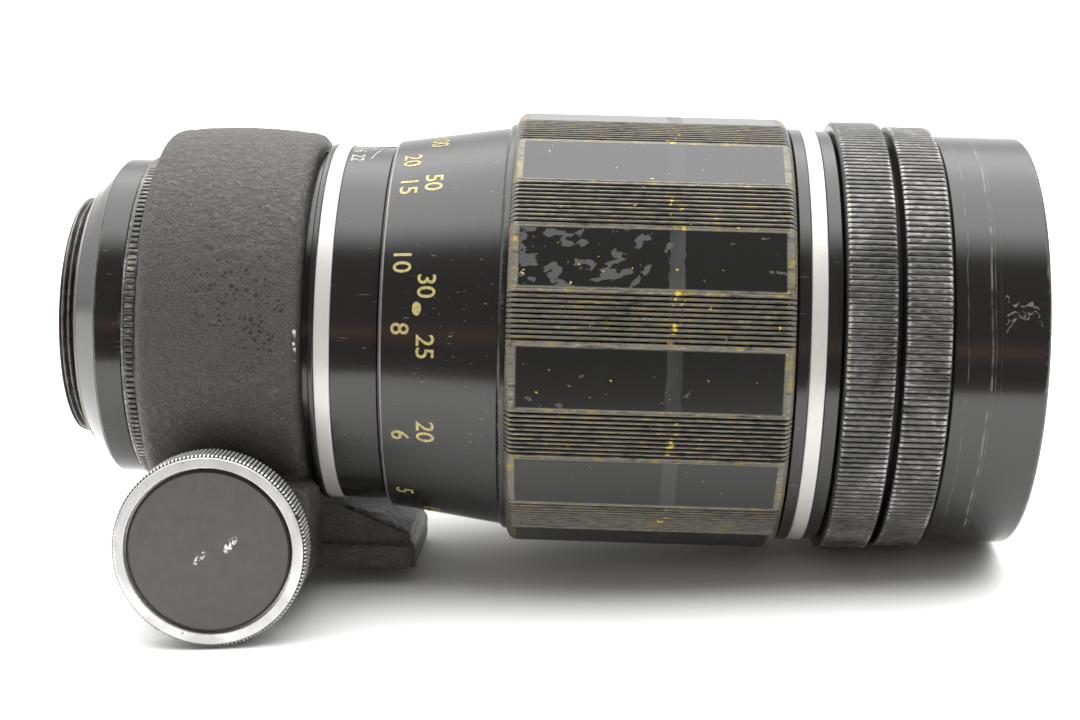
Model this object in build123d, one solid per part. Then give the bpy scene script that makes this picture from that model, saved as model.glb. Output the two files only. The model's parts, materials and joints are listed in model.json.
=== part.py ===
from build123d import *
import os
from math import cos, radians, sin, sqrt

# A 200 mm f/3.5 preset telephoto lens for 42 mm screw-mount cameras, set at infinity and wide open.
# Frame: millimetres, the origin on the optical axis at the mount's flange face, +X along the
# optical axis to the front glass, +Z up, the tripod foot at the bottom and its clamp knob on -Y.
# Angles about the axis run from +Y (0) over +Z (90) to -Y (180).

# ---------------------------------------------------------------- fits
running_gap = 0.05  # radial clearance of a ring or shaft that turns or slides
face_gap = 0.3  # space along the axis between rings that move past each other
hand_gap = 1.2  # the open gap between the tripod collar and the ring in front of it

# ---------------------------------------------------------------- radii of the barrel
# The mount's radii and the neck behind it are their own. Every other ring is as far out as its
# seat and its wall put it.
mount_thread_r = 21.0
mount_bore_r = 18.6
flange_r = 23.0

tube_wall = 2.0
rear_neck_bore_r = mount_bore_r + 4.9
rear_neck_r = rear_neck_bore_r + tube_wall
rear_ring_r = rear_neck_r + 2.5
lock_ring_r = rear_neck_r + 3.2

main_tube_r = 30.0
main_tube_bore_r = main_tube_r - tube_wall
collar_edge_r = main_tube_r + 3.2
collar_r = collar_edge_r + 1.0
rear_trim_r = main_tube_r + 1.7
depth_ring_r = main_tube_r + 1.4

inner_barrel_wall = 3.55
helicoid_wall = 1.8
grip_wall = 2.6
inner_barrel_r = main_tube_r + running_gap + inner_barrel_wall
optics_bore_r = inner_barrel_r - helicoid_wall
nut_r = inner_barrel_r + helicoid_wall
grip_r = nut_r + grip_wall
step_ring_r = nut_r + 0.6
scale_front_r = step_ring_r - 0.7
scale_rear_r = scale_front_r - 2.8
front_dark_r = inner_barrel_r + 2.8
front_satin_r = inner_barrel_r + 2.85
index_ring_r = inner_barrel_r + 2.6
preset_ring_r = inner_barrel_r + 4.2
aperture_ring_r = inner_barrel_r + 3.6
front_barrel_r = inner_barrel_r + 2.15
filter_thread_r = front_barrel_r - 2.25

# ---------------------------------------------------------------- places along the axis
mount_thread_length = 3.2
cone_front_x = 4.5
rear_ring_front_x = 9.3
lock_ring_front_x = 12.0
collar_width = 27.3
stop_ring_width = 1.0
satin_width = 2.6
depth_ring_width = 7.8
scale_width = 19.6
step_ring_width = 1.4
grip_width = 46.5
front_dark_width = 2.1
index_ring_width = 2.5
preset_width = 8.4
ring_groove = 1.0  # the open groove between the two knurled rings
aperture_width = 7.8
front_barrel_width = 15.5
filter_thread_depth = 5.2
filter_relief = 0.4  # width and depth of the groove where the filter thread runs out

collar_x = lock_ring_front_x + face_gap
collar_front_x = collar_x + collar_width
stop_ring_x = collar_front_x + hand_gap
rear_satin_x = stop_ring_x + stop_ring_width
depth_ring_x = rear_satin_x + satin_width
scale_x = depth_ring_x + depth_ring_width + face_gap
step_ring_x = scale_x + scale_width
grip_x = step_ring_x + step_ring_width
grip_front_x = grip_x + grip_width
front_dark_x = grip_front_x + face_gap
front_satin_x = front_dark_x + front_dark_width
index_ring_x = front_satin_x + satin_width
preset_x = index_ring_x + index_ring_width + face_gap
aperture_x = preset_x + preset_width + ring_groove
front_barrel_x = aperture_x + aperture_width + face_gap
front_x = front_barrel_x + front_barrel_width
main_tube_front_x = grip_front_x - 8.0

# ---------------------------------------------------------------- focusing mechanism
retainer_width = 2.6
retainer_r = nut_r - 0.8
stop_lug_r = nut_r - 0.2
stop_lug_angle = 270.0
stop_lug_half = 12.0
stop_pin_r = 1.25
stop_pin_offset = 15.0  # from the lug's middle to the pin at infinity; the ring turns 330 degrees
key_width = 6.0
key_length = 6.0
key_top_r = inner_barrel_r - 0.4
key_x = main_tube_front_x - 12.0
inner_barrel_x = key_x - 20.0  # 17.4 mm of travel and a little over
keyway_end = key_x + key_length + 1.0
flat_count = 12
flat_width = 9.6
flat_depth = 0.45
first_flat = 5.1
small_screw_r = 1.0
set_screw_r = 1.25

# ---------------------------------------------------------------- iris
blade_count = 12
blade_thickness = 0.15
blade_layer = 0.3
iris_opening_r = optics_bore_r - 9.2
iris_wall_r = optics_bore_r - 2.6
blade_inner_r = iris_opening_r + 0.2
blade_outer_r = iris_wall_r - 1.0
blade_pivot_r = blade_outer_r - 1.9
blade_span = 112.0
iris_plate = 1.5
cam_plate = 1.0
cam_rim = 3.2
drive_pin_r = 1.2
drive_pin_angle = 200.0
aperture_turn = 60.0
cam_rim_mid = 1.6

# ---------------------------------------------------------------- optics
front_glass_r = optics_bore_r - 2.2
rear_glass_r = 20.0
front_edge, front_bulge, front_back_bulge = 3.0, 4.5, 2.5
second_edge, second_hollow, second_back_bulge = 2.2, 2.8, 2.3
third_edge, third_hollow, third_back_hollow = 5.6, 2.2, 1.8
fourth_edge, fourth_hollow, fourth_back_bulge = 2.4, 1.0, 1.6
glass_lip = 1.2  # how far a cell's lip reaches in front of a glass's edge

# ---------------------------------------------------------------- tripod collar, foot and clamp
foot_base_z = -(main_tube_r + 12.0)
foot_width = 27.0
foot_x = collar_x + 0.7
foot_front_x = collar_front_x + 17.9
foot_plate = 4.4
foot_web_inset = 0.9
foot_slope = 0.386  # fall of the web's top for each millimetre forward
web_top_z = -(main_tube_r - 0.9)
trough_rear_r = rear_trim_r + 0.9
trough_front_r = trough_rear_r + 2.0
ear_y = -(main_tube_r + 1.8)
ear_front_x = collar_front_x + 1.9
ear_bottom_z = foot_base_z + 1.4
slit_y = -14.7
slit_width = 1.5
clamp_x = collar_x + collar_width / 2 + 0.15
clamp_screw_r = 2.5
clamp_z = -(main_tube_r + clamp_screw_r + 0.8)
clamp_screw_end_y = 4.0
washer_r, washer_thickness = 6.0, 1.0
knob_r = 16.05
knob_inlay_r = 13.5
knob_recess_r = 13.85
knob_recess = 1.5
knob_thickness = 6.3
tripod_thread_r = 3.175
tripod_thread_depth = 7.4
tripod_insert_r = 5.0
tripod_x = collar_front_x - 3.6


# ---------------------------------------------------------------- helpers
def turned(*corners):
    """A piece turned about the optical axis from its half section, given as (x, radius) corners."""
    return revolve(make_face(Polyline(*corners, close=True)), axis=Axis.X)


def ring(x, width, outer_r, bore_r, chamfer=0.3):
    """A plain ring with both outer edges chamfered."""
    end = x + width
    return turned(
        (x, bore_r), (x, outer_r - chamfer), (x + chamfer, outer_r),
        (end - chamfer, outer_r), (end, outer_r - chamfer), (end, bore_r),
    )


def rod(x, angle, inner, outer, radius):
    """A round rod that stands straight out from the axis between two distances from it."""
    out = (0, cos(radians(angle)), sin(radians(angle)))
    foot = Plane(origin=(x, inner * out[1], inner * out[2]), z_dir=out)
    return extrude(foot * Circle(radius), outer - inner)


def rods(x, angles, inner, outer, radius):
    return [rod(x, angle, inner, outer, radius) for angle in angles]


def sector(x, width, outer_r, bore_r, start, sweep):
    """A ring's piece between two angles."""
    section = make_face(Polyline(
        (x, bore_r), (x, outer_r), (x + width, outer_r), (x + width, bore_r), close=True))
    return Rot(start, 0, 0) * revolve(section, axis=Axis.X, revolution_arc=sweep)


def glass(back_x, edge, radius, front_bulge_mm, back_bulge_mm):
    """A glass with a ground cylinder edge; a bulge is positive where its face is convex."""
    front_x_edge = back_x + edge

    def cap(x, bulge, way):
        curve_r = (radius ** 2 + bulge ** 2) / (2 * abs(bulge))
        half_sag = curve_r - sqrt(curve_r ** 2 - radius ** 2 / 4)
        middle = x + way * (bulge - half_sag * (1 if bulge > 0 else -1))
        return ThreePointArc((x, radius), (middle, radius / 2), (x + way * bulge, 0))

    section = make_face([
        cap(front_x_edge, front_bulge_mm, 1),
        Line((front_x_edge + front_bulge_mm, 0), (back_x - back_bulge_mm, 0)),
        cap(back_x, back_bulge_mm, -1),
        Line((back_x, radius), (front_x_edge, radius)),
    ])
    return revolve(section, axis=Axis.X)


def box_between(low, high):
    size = [b - a for a, b in zip(low, high)]
    return Pos(*low) * Box(*size, align=(Align.MIN, Align.MIN, Align.MIN))


def along_knob(shape):
    """Stands a piece turned about +X on the clamp's own axis, with its +X pointing to -Y."""
    return Pos(clamp_x, 0, clamp_z) * Rot(0, 0, -90) * shape


# ---------------------------------------------------------------- rear barrel: what the camera holds
def screw_mount_ring():
    """Thread, flange face and cone in one turned ring, with a spigot inside the main tube."""
    spigot_end = cone_front_x + 4.5
    return turned(
        (-mount_thread_length, mount_bore_r), (-mount_thread_length, mount_thread_r),
        (0, mount_thread_r), (0, flange_r), (0.3, flange_r),
        (cone_front_x, rear_ring_r - 0.2), (cone_front_x, rear_neck_bore_r),
        (spigot_end, rear_neck_bore_r), (spigot_end, mount_bore_r),
    )


def rear_light_baffle():
    x = cone_front_x + 4.6
    return turned((x, mount_bore_r - 1), (x, rear_neck_bore_r), (x + 1, rear_neck_bore_r),
                  (x + 1, mount_bore_r + 0.4))


def rear_collar_ring():
    return ring(cone_front_x, rear_ring_front_x - cone_front_x, rear_ring_r, rear_neck_r)


def serrated_lock_ring():
    return ring(rear_ring_front_x, lock_ring_front_x - rear_ring_front_x, lock_ring_r, rear_neck_r)


key_screw_x = (key_x + 1.6, key_x + key_length - 1.6)
key_screw_angles = (90, 270)
key_screw_shanks = [
    rod(x, angle, main_tube_bore_r + 0.4, key_top_r - 0.2, small_screw_r)
    for x in key_screw_x for angle in key_screw_angles
]
retainer_x = grip_x + 0.4
retainer_screw_x = retainer_x + retainer_width / 2
retainer_screws = rods(
    retainer_screw_x, (30, 150, 270), main_tube_bore_r + 1.0, retainer_r - 0.1, small_screw_r)


def main_tube():
    """The fixed barrel that everything else turns or slides on, necked down at the rear."""
    neck_end = lock_ring_front_x + 2
    tube = turned(
        (cone_front_x, rear_neck_bore_r), (cone_front_x, rear_neck_r),
        (lock_ring_front_x, rear_neck_r), (lock_ring_front_x, main_tube_r),
        (main_tube_front_x, main_tube_r), (main_tube_front_x, main_tube_bore_r),
        (neck_end + 3, main_tube_bore_r), (neck_end, rear_neck_bore_r),
    )
    return tube - key_screw_shanks - retainer_screws


def guide_key(angle):
    """A straight key on the main tube; it stops the sliding barrel from turning."""
    block = box_between((key_x, -key_width / 2, main_tube_r - 1),
                        (key_x + key_length, key_width / 2, key_top_r))
    return Rot(angle - 90, 0, 0) * block - turned(
        (key_x - 1, 0), (key_x - 1, main_tube_r), (key_x + key_length + 1, main_tube_r),
        (key_x + key_length + 1, 0))


def focus_retaining_ring():
    """Traps the focusing ring along the axis, and carries the lug that stops its turn."""
    lug = sector(retainer_x, retainer_width, stop_lug_r, retainer_r - 0.5,
                 stop_lug_angle - stop_lug_half, 2 * stop_lug_half)
    return ring(retainer_x, retainer_width, retainer_r, main_tube_r, 0.2) + lug - retainer_screws


# ---------------------------------------------------------------- focusing ring
def distance_scale_cone():
    front = scale_x + scale_width
    return turned(
        (scale_x, main_tube_r + running_gap), (scale_x, scale_rear_r - 0.4),
        (scale_x + 0.4, scale_rear_r), (front, scale_front_r), (front, main_tube_r + running_gap))


def step_ring():
    front = step_ring_x + step_ring_width
    return turned(
        (step_ring_x, main_tube_r + 0.4), (step_ring_x, scale_front_r + 0.2),
        (step_ring_x + 0.5, step_ring_r), (front, step_ring_r), (front, main_tube_r + 0.4))


nut_x = retainer_x + retainer_width + 0.4
nut_front_x = grip_front_x - 1.5
grip_screw_x = nut_x + 3.0
grip_screw_angles = (first_flat, first_flat + 60, first_flat - 60)
grip_screw_top = grip_r - flat_depth - 0.5
grip_screws = rods(grip_screw_x, grip_screw_angles, inner_barrel_r + 0.6, grip_screw_top, set_screw_r)
grip_screw_holes = rods(grip_screw_x, grip_screw_angles, inner_barrel_r + 0.6, grip_r + 1, set_screw_r)
stop_pin_x = retainer_x + retainer_width / 2
stop_pin_angle = stop_lug_angle - stop_pin_offset
stop_pin = rod(stop_pin_x, stop_pin_angle, retainer_r + 0.2, nut_r + 1.4, stop_pin_r)


def focus_grip_ring():
    """The wide ribbed ring, with twelve shallow flats; its front lip clears the sliding barrel."""
    lip_r = inner_barrel_r + 0.4
    grip = turned(
        (grip_x, nut_r), (grip_x, grip_r - 1.2), (grip_x + 1.2, grip_r),
        (grip_front_x - 1.2, grip_r), (grip_front_x, grip_r - 1.2), (grip_front_x, lip_r),
        (nut_front_x, lip_r), (nut_front_x, nut_r))
    flat = box_between((grip_x - 1, -flat_width / 2, grip_r - flat_depth),
                       (grip_front_x + 1, flat_width / 2, grip_r + 1))
    flats = [Rot(first_flat - 90 + 360 / flat_count * k, 0, 0) * flat for k in range(flat_count)]
    return grip - flats - grip_screw_holes - stop_pin


def helicoid_nut():
    return turned(
        (nut_x, inner_barrel_r + running_gap), (nut_x, nut_r), (nut_front_x, nut_r),
        (nut_front_x, inner_barrel_r + running_gap)) - grip_screw_holes


# ---------------------------------------------------------------- iris and its drive
iris_x = preset_x + 4.7
blade_x = iris_x + iris_plate + face_gap
cam_x = blade_x + blade_count * blade_layer + face_gap
cam_front_x = cam_x + cam_plate + cam_rim
iris_ring_x = cam_front_x + face_gap
iris_front_x = iris_ring_x + 1.2
drive_x = cam_x + cam_plate + cam_rim_mid
drive_pin_top = aperture_ring_r - 2.2
drive_slot = sector(drive_x - drive_pin_r - 0.3, 2 * drive_pin_r + 0.6, inner_barrel_r + 1,
                    iris_wall_r - 1, drive_pin_angle - 5, aperture_turn + 10)


def iris_housing():
    return turned(
        (iris_x, iris_opening_r), (iris_x, optics_bore_r), (iris_front_x, optics_bore_r),
        (iris_front_x, iris_wall_r), (iris_x + iris_plate, iris_wall_r),
        (iris_x + iris_plate, iris_opening_r)) - drive_slot


def iris_blade(k):
    """One curved leaf: a ring's sector with a round end about its pivot, in a layer of its own."""
    angle = 360 / blade_count * k
    x = blade_x + blade_layer * k
    end_r = (blade_outer_r - blade_pivot_r)
    leaf = sector(x, blade_thickness, blade_outer_r, blade_inner_r, angle, blade_span)
    face = Plane(origin=(x, blade_pivot_r * cos(radians(angle)), blade_pivot_r * sin(radians(angle))),
                 z_dir=(1, 0, 0))
    return leaf + extrude(face * Circle(end_r), blade_thickness)


def iris_cam_ring():
    """Turns with the aperture ring inside the iris housing and swings the leaves."""
    plate_end = cam_x + cam_plate
    outer = iris_wall_r - running_gap
    cam = turned(
        (cam_x, iris_opening_r + 0.4), (cam_x, outer), (cam_front_x, outer),
        (cam_front_x, outer - 2), (plate_end, outer - 2), (plate_end, iris_opening_r + 0.4))
    return cam - rod(drive_x, drive_pin_angle, iris_wall_r - 1.6, iris_wall_r + 1, drive_pin_r)


def iris_retaining_ring():
    return turned((iris_ring_x, iris_opening_r + 2), (iris_ring_x, iris_wall_r),
                  (iris_ring_x + 1, iris_wall_r), (iris_ring_x + 1, iris_opening_r + 2))


drive_pin = rod(drive_x, drive_pin_angle, iris_wall_r - 1.6, drive_pin_top, drive_pin_r)


# ---------------------------------------------------------------- sliding barrel and optics
second_back_x = iris_front_x + 1.4
second_front_x = second_back_x + second_edge
front_back_x = second_front_x + 0.8
front_edge_x = front_back_x + front_edge
cell_x = iris_front_x + 0.3
cell_front_x = front_edge_x + 1.8
inner_barrel_front_x = cell_x + 5.4
rear_cell_x = inner_barrel_x + 12.0
fourth_back_x = rear_cell_x + 2.6
third_back_x = fourth_back_x + fourth_edge + 0.3
third_front_x = third_back_x + third_edge
trim_seat_x = front_x - filter_thread_depth
trim_r = filter_thread_r - 0.7
detent_r = 0.75
detent_place = (index_ring_x + index_ring_width - detent_r, 0, 0.5 * (inner_barrel_r + index_ring_r))


def inner_barrel():
    """Slides on the main tube inside the helicoid; two keyways ride on the guide keys."""
    step_x = main_tube_front_x + 1
    barrel = turned(
        (inner_barrel_x, main_tube_r + running_gap), (inner_barrel_x, inner_barrel_r),
        (inner_barrel_front_x, inner_barrel_r), (inner_barrel_front_x, optics_bore_r),
        (step_x, optics_bore_r), (step_x, main_tube_r + running_gap))
    half = key_width / 2 + running_gap
    keyway = box_between((inner_barrel_x - 1, -half, main_tube_r - 2),
                         (keyway_end, half, inner_barrel_r + 1))
    return barrel - [keyway, Rot(180, 0, 0) * keyway] - drive_slot


def index_ring():
    """The fixed ring behind the knurled rings; a sprung ball in its face clicks the preset ring."""
    pocket = Pos(index_ring_x + 0.3, 0, detent_place[2]) * Rot(0, 90, 0) * Cylinder(
        detent_r + running_gap, index_ring_width, align=(Align.CENTER, Align.CENTER, Align.MIN))
    return ring(index_ring_x, index_ring_width, index_ring_r, inner_barrel_r) - pocket


def detent_spring():
    """Two and a half turns of fine wire behind the ball."""
    wire = 0.1
    coil = Helix(pitch=0.26, height=0.52, radius=0.5)
    coil_start = coil @ 0
    section = Plane(origin=coil_start, z_dir=coil % 0) * Circle(wire)
    return Pos(index_ring_x + 0.3 + wire, 0, detent_place[2]) * Rot(0, 90, 0) * sweep(section, path=coil)


def front_barrel():
    """The plain front tube, with the filter thread in its mouth."""
    mouth = 0.4
    return turned(
        (front_barrel_x, inner_barrel_r), (front_barrel_x, front_barrel_r - 0.3),
        (front_barrel_x + 0.3, front_barrel_r), (front_x - mouth, front_barrel_r),
        (front_x, front_barrel_r - mouth), (front_x, filter_thread_r + mouth),
        (front_x - mouth, filter_thread_r), (trim_seat_x + filter_relief, filter_thread_r),
        (trim_seat_x + filter_relief, filter_thread_r + filter_relief),
        (trim_seat_x, filter_thread_r + filter_relief), (trim_seat_x, trim_r),
        (inner_barrel_front_x + 0.2, trim_r), (inner_barrel_front_x + 0.2, inner_barrel_r))


def front_trim_ring():
    """The sloped black ring between the filter thread and the front glass."""
    back = cell_front_x + 0.1
    return turned(
        (back, front_glass_r - 0.7), (back, trim_r), (trim_seat_x, trim_r),
        (trim_seat_x, trim_r - 0.6), (back + 0.5, front_glass_r - 0.7))


def front_cell():
    lip_r = front_glass_r - glass_lip
    lip_end = second_back_x - 0.3
    return turned(
        (cell_x, lip_r), (cell_x, optics_bore_r), (cell_front_x, optics_bore_r),
        (cell_front_x, front_glass_r), (lip_end, front_glass_r), (lip_end, lip_r))


def front_retaining_ring():
    x = front_edge_x + 0.35
    return turned((x, front_glass_r - 0.9), (x, front_glass_r), (cell_front_x, front_glass_r),
                  (cell_front_x, front_glass_r - 0.9))


def glass_spacer():
    x = second_front_x
    return turned((x, front_glass_r - 0.8), (x, front_glass_r), (front_back_x - 0.2, front_glass_r),
                  (front_back_x - 0.2, front_glass_r - 0.8))


def rear_cell_tube():
    """Carries the two rear glasses behind the iris, well down inside the main tube."""
    wall = 2.4
    lip_end = fourth_back_x - 0.3
    flange_x = iris_x - 4.0
    return turned(
        (rear_cell_x, rear_glass_r - 1.4), (rear_cell_x, rear_glass_r + wall),
        (flange_x - 4.5, rear_glass_r + wall), (flange_x, rear_glass_r + 2 * wall),
        (flange_x, optics_bore_r), (iris_x - 0.2, optics_bore_r), (iris_x - 0.2, iris_opening_r),
        (flange_x - 0.5, iris_opening_r), (flange_x - 7.5, rear_glass_r), (lip_end, rear_glass_r),
        (lip_end, rear_glass_r - 1.4))


def rear_retaining_ring():
    x = third_front_x + 0.1
    return turned((x, rear_glass_r - 1.4), (x, rear_glass_r), (x + 1.5, rear_glass_r),
                  (x + 1.5, rear_glass_r - 1.4))


# ---------------------------------------------------------------- tripod collar, foot and clamp
def collar_bore(r=main_tube_r + running_gap):
    return turned((collar_x - 1, 0), (collar_x - 1, r), (collar_front_x, r),
                  (collar_front_x, trough_rear_r), (foot_front_x + 1, trough_front_r),
                  (foot_front_x + 1, 0))


def collar_band():
    """The crowned band round the barrel, with rounded shoulders."""
    bore = main_tube_r + running_gap
    section = make_face([
        Line((collar_x, bore), (collar_x, collar_edge_r)),
        ThreePointArc((collar_x, collar_edge_r), (collar_x + collar_width / 2, collar_r),
                      (collar_front_x, collar_edge_r)),
        Line((collar_front_x, collar_edge_r), (collar_front_x, bore)),
        Line((collar_front_x, bore), (collar_x, bore)),
    ])
    shoulders = section.vertices().sort_by(Axis.Y)[-2:]
    return revolve(fillet(shoulders, 2.2), axis=Axis.X)


def foot_block():
    """The flat foot, and the web above it that falls away to the front."""
    web_end_z = web_top_z - foot_slope * (foot_front_x - 0.8 - collar_front_x)
    half = foot_width / 2
    outline = make_face(Polyline(
        (foot_x, foot_base_z + 1), (foot_x, web_top_z), (collar_front_x, web_top_z),
        (foot_front_x - 0.8, web_end_z), (foot_front_x - 0.8, foot_base_z + 1), close=True))
    web = Pos(0, half - foot_web_inset, 0) * Rot(90, 0, 0) * extrude(
        outline, foot_width - 2 * foot_web_inset)
    plate = box_between((foot_x, -half, foot_base_z), (foot_front_x, half, foot_base_z + foot_plate))
    plate = fillet(plate.edges().filter_by(Axis.Z), 2.0)
    return plate + web


def clamp_ear():
    """The near half of the split clamp, a block that the knob pulls towards the foot."""
    block = box_between((foot_x, ear_y, ear_bottom_z), (ear_front_x, slit_y - slit_width, -24.0))
    return fillet(block.edges().filter_by(Axis.Y), 2.5)


def tripod_collar():
    """Band, foot and ear in one casting, slit between foot and ear so that the clamp can close."""
    slit = box_between((collar_x - 1, slit_y - slit_width, foot_base_z - 1),
                       (foot_front_x + 1, slit_y, -20))
    clearance = along_knob(turned((-slit_y, 0), (-slit_y, clamp_screw_r + 0.25),
                                  (-ear_y + 1, clamp_screw_r + 0.25), (-ear_y + 1, 0)))
    thread = along_knob(turned(
        (-clamp_screw_end_y - 0.5, 0), (-clamp_screw_end_y - 0.5, clamp_screw_r + running_gap),
        (-slit_y + 1, clamp_screw_r + running_gap), (-slit_y + 1, 0)))
    socket = Pos(tripod_x, 0, foot_base_z) * Cylinder(
        tripod_insert_r, tripod_thread_depth, align=(Align.CENTER, Align.CENTER, Align.MIN))
    casting = collar_band() + (foot_block() + clamp_ear() - collar_bore())
    return casting - slit - clearance - thread - socket


def tripod_socket_insert():
    outer = Cylinder(tripod_insert_r, tripod_thread_depth, align=(Align.CENTER, Align.CENTER, Align.MIN))
    bore = Cylinder(tripod_thread_r, tripod_thread_depth, align=(Align.CENTER, Align.CENTER, Align.MIN))
    return Pos(tripod_x, 0, foot_base_z) * (outer - bore)


washer_y = -ear_y + 0.05
knob_back = washer_y + washer_thickness + face_gap
knob_face = knob_back + knob_thickness


def clamp_washer():
    return along_knob(turned(
        (washer_y, clamp_screw_r + 0.25), (washer_y, washer_r),
        (washer_y + washer_thickness, washer_r), (washer_y + washer_thickness, clamp_screw_r + 0.25)))


def clamp_knob():
    """A knurled drum with a recess in its face for the black inlay."""
    floor = knob_face - knob_recess
    return along_knob(turned(
        (knob_back, clamp_screw_r), (knob_back, knob_r - 1.5), (knob_back + 0.8, knob_r),
        (knob_face - 0.6, knob_r), (knob_face, knob_r - 0.6), (knob_face, knob_recess_r),
        (floor, knob_recess_r), (floor, clamp_screw_r)))


def knob_inlay():
    floor = knob_face - knob_recess
    top = knob_face - 0.35
    return along_knob(turned((floor, 0), (floor, knob_inlay_r), (top - 0.3, knob_inlay_r),
                             (top, knob_inlay_r - 0.3), (top, 0)))


def clamp_screw():
    end = -clamp_screw_end_y
    return along_knob(turned((end, 0), (end, clamp_screw_r - 0.5), (end + 0.5, clamp_screw_r),
                             (knob_face - knob_recess, clamp_screw_r), (knob_face - knob_recess, 0)))


# ---------------------------------------------------------------- every piece by name
parts = {
    # rear barrel
    "screw_mount_ring": screw_mount_ring(),
    "rear_light_baffle": rear_light_baffle(),
    "rear_collar_ring": rear_collar_ring(),
    "serrated_lock_ring": serrated_lock_ring(),
    "main_tube": main_tube(),
    "collar_stop_ring": ring(stop_ring_x, stop_ring_width, rear_trim_r, main_tube_r, 0.2),
    "rear_satin_ring": ring(rear_satin_x, satin_width, rear_trim_r, main_tube_r),
    "depth_scale_ring": ring(depth_ring_x, depth_ring_width, depth_ring_r, main_tube_r, 0.2),
    "guide_keys": Compound([guide_key(angle) - key_screw_shanks for angle in key_screw_angles]),
    "guide_key_screws": Compound(key_screw_shanks),
    "focus_retaining_ring": focus_retaining_ring(),
    "retaining_ring_screws": Compound(retainer_screws),
    # focusing ring
    "distance_scale_cone": distance_scale_cone(),
    "step_ring": step_ring(),
    "focus_grip_ring": focus_grip_ring(),
    "helicoid_nut": helicoid_nut(),
    "grip_set_screws": Compound(grip_screws),
    "focus_stop_pin": stop_pin,
    # sliding barrel and optics
    "inner_barrel": inner_barrel(),
    "front_dark_ring": ring(front_dark_x, front_dark_width, front_dark_r, inner_barrel_r),
    "front_satin_ring": ring(front_satin_x, satin_width, front_satin_r, inner_barrel_r),
    "index_ring": index_ring(),
    "detent_ball": Pos(*detent_place) * Sphere(detent_r),
    "detent_spring": detent_spring(),
    "front_barrel": front_barrel(),
    "front_trim_ring": front_trim_ring(),
    "front_cell": front_cell(),
    "front_retaining_ring": front_retaining_ring(),
    "glass_spacer": glass_spacer(),
    "front_glass": glass(front_back_x, front_edge, front_glass_r, front_bulge, front_back_bulge),
    "second_glass": glass(second_back_x, second_edge, front_glass_r, -second_hollow, second_back_bulge),
    "iris_housing": iris_housing(),
    "iris_retaining_ring": iris_retaining_ring(),
    "rear_cell_tube": rear_cell_tube(),
    "third_glass": glass(third_back_x, third_edge, rear_glass_r, -third_hollow, -third_back_hollow),
    "fourth_glass": glass(fourth_back_x, fourth_edge, rear_glass_r, -fourth_hollow, fourth_back_bulge),
    "rear_retaining_ring": rear_retaining_ring(),
    # the two knurled rings
    "preset_ring": ring(preset_x, preset_width, preset_ring_r, inner_barrel_r + running_gap, 0.5),
    "aperture_ring": ring(aperture_x, aperture_width, aperture_ring_r, inner_barrel_r + running_gap, 0.5)
    - drive_pin,
    "iris_cam_ring": iris_cam_ring(),
    "iris_drive_pin": drive_pin,
    # tripod collar and its clamp
    "tripod_collar": tripod_collar(),
    "tripod_socket_insert": tripod_socket_insert(),
    "clamp_washer": clamp_washer(),
    "clamp_knob": clamp_knob(),
    "knob_inlay": knob_inlay(),
    "clamp_screw": clamp_screw(),
}
for k in range(blade_count):
    parts[f"iris_blade_{k + 1:02d}"] = iris_blade(k)

os.makedirs("parts", exist_ok=True)
for name, shape in parts.items():
    export_step(shape, f"parts/{name}.step")
print(len(parts), "nodes, front rim at", round(front_x, 2), "mm")
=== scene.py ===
# %% [markdown]
# # A long screw-mount lens with a tripod collar
# The real lens is a stack of turned metal rings on one tube: a threaded mount, a cast collar with its foot
# and clamp, engraved rings, a ribbed focusing ring, two knurled rings and a plain front tube. Nearly every
# ring is made on a lathe, so most pieces here are a half section spun about the optical axis. The packed
# model gives every place and radius, and the looks are built around it.

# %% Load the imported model
import json
import math

import bmesh
import bpy
import numpy as np
from mathutils import Matrix, Vector, noise


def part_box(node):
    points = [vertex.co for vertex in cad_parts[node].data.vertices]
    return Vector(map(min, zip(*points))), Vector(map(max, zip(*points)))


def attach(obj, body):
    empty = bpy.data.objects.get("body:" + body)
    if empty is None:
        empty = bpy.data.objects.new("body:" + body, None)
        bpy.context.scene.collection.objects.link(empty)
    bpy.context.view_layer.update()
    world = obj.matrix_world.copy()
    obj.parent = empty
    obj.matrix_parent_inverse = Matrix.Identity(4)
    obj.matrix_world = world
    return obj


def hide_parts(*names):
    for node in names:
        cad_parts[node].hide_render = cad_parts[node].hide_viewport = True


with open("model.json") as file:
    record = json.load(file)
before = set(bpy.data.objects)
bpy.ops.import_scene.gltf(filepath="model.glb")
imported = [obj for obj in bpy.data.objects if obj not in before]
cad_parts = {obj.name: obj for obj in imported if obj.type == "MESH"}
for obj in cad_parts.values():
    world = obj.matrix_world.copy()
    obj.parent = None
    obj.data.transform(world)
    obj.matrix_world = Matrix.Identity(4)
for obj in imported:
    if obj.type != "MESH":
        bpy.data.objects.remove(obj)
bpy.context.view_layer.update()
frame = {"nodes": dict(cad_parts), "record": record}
MM = 0.001
record = frame["record"]
slot_of = {part["node"]: part["material_slot"] for part in record["subparts"]}
body_of = {node: body for body, nodes in record["behaviour"]["bodies"].items() for node in nodes}

# %% [markdown]
# ## Measuring the frame
# A ring is known by where it starts, where it ends, and its radii. Those can be read from the vertices of
# its node, so no size has to be typed again. Angles are measured round the axis from +Y, through the top,
# to the side of the clamp knob and on to the foot.

# %% Read radii from a node
def rings_of(node):
    """Every vertex of a node as (place along the axis, distance from it), in millimetres."""
    points = np.array([vertex.co for vertex in frame["nodes"][node].data.vertices]) / MM
    return points[:, 0], np.hypot(points[:, 1], points[:, 2])


def span(node):
    low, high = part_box(node)
    return low.x / MM, high.x / MM


def outer(node, low=-1e3, high=1e3):
    """The largest radius of a node between two places along the axis."""
    x, r = rings_of(node)
    return float(r[(x > low - 1e-3) & (x < high + 1e-3)].max())


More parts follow.
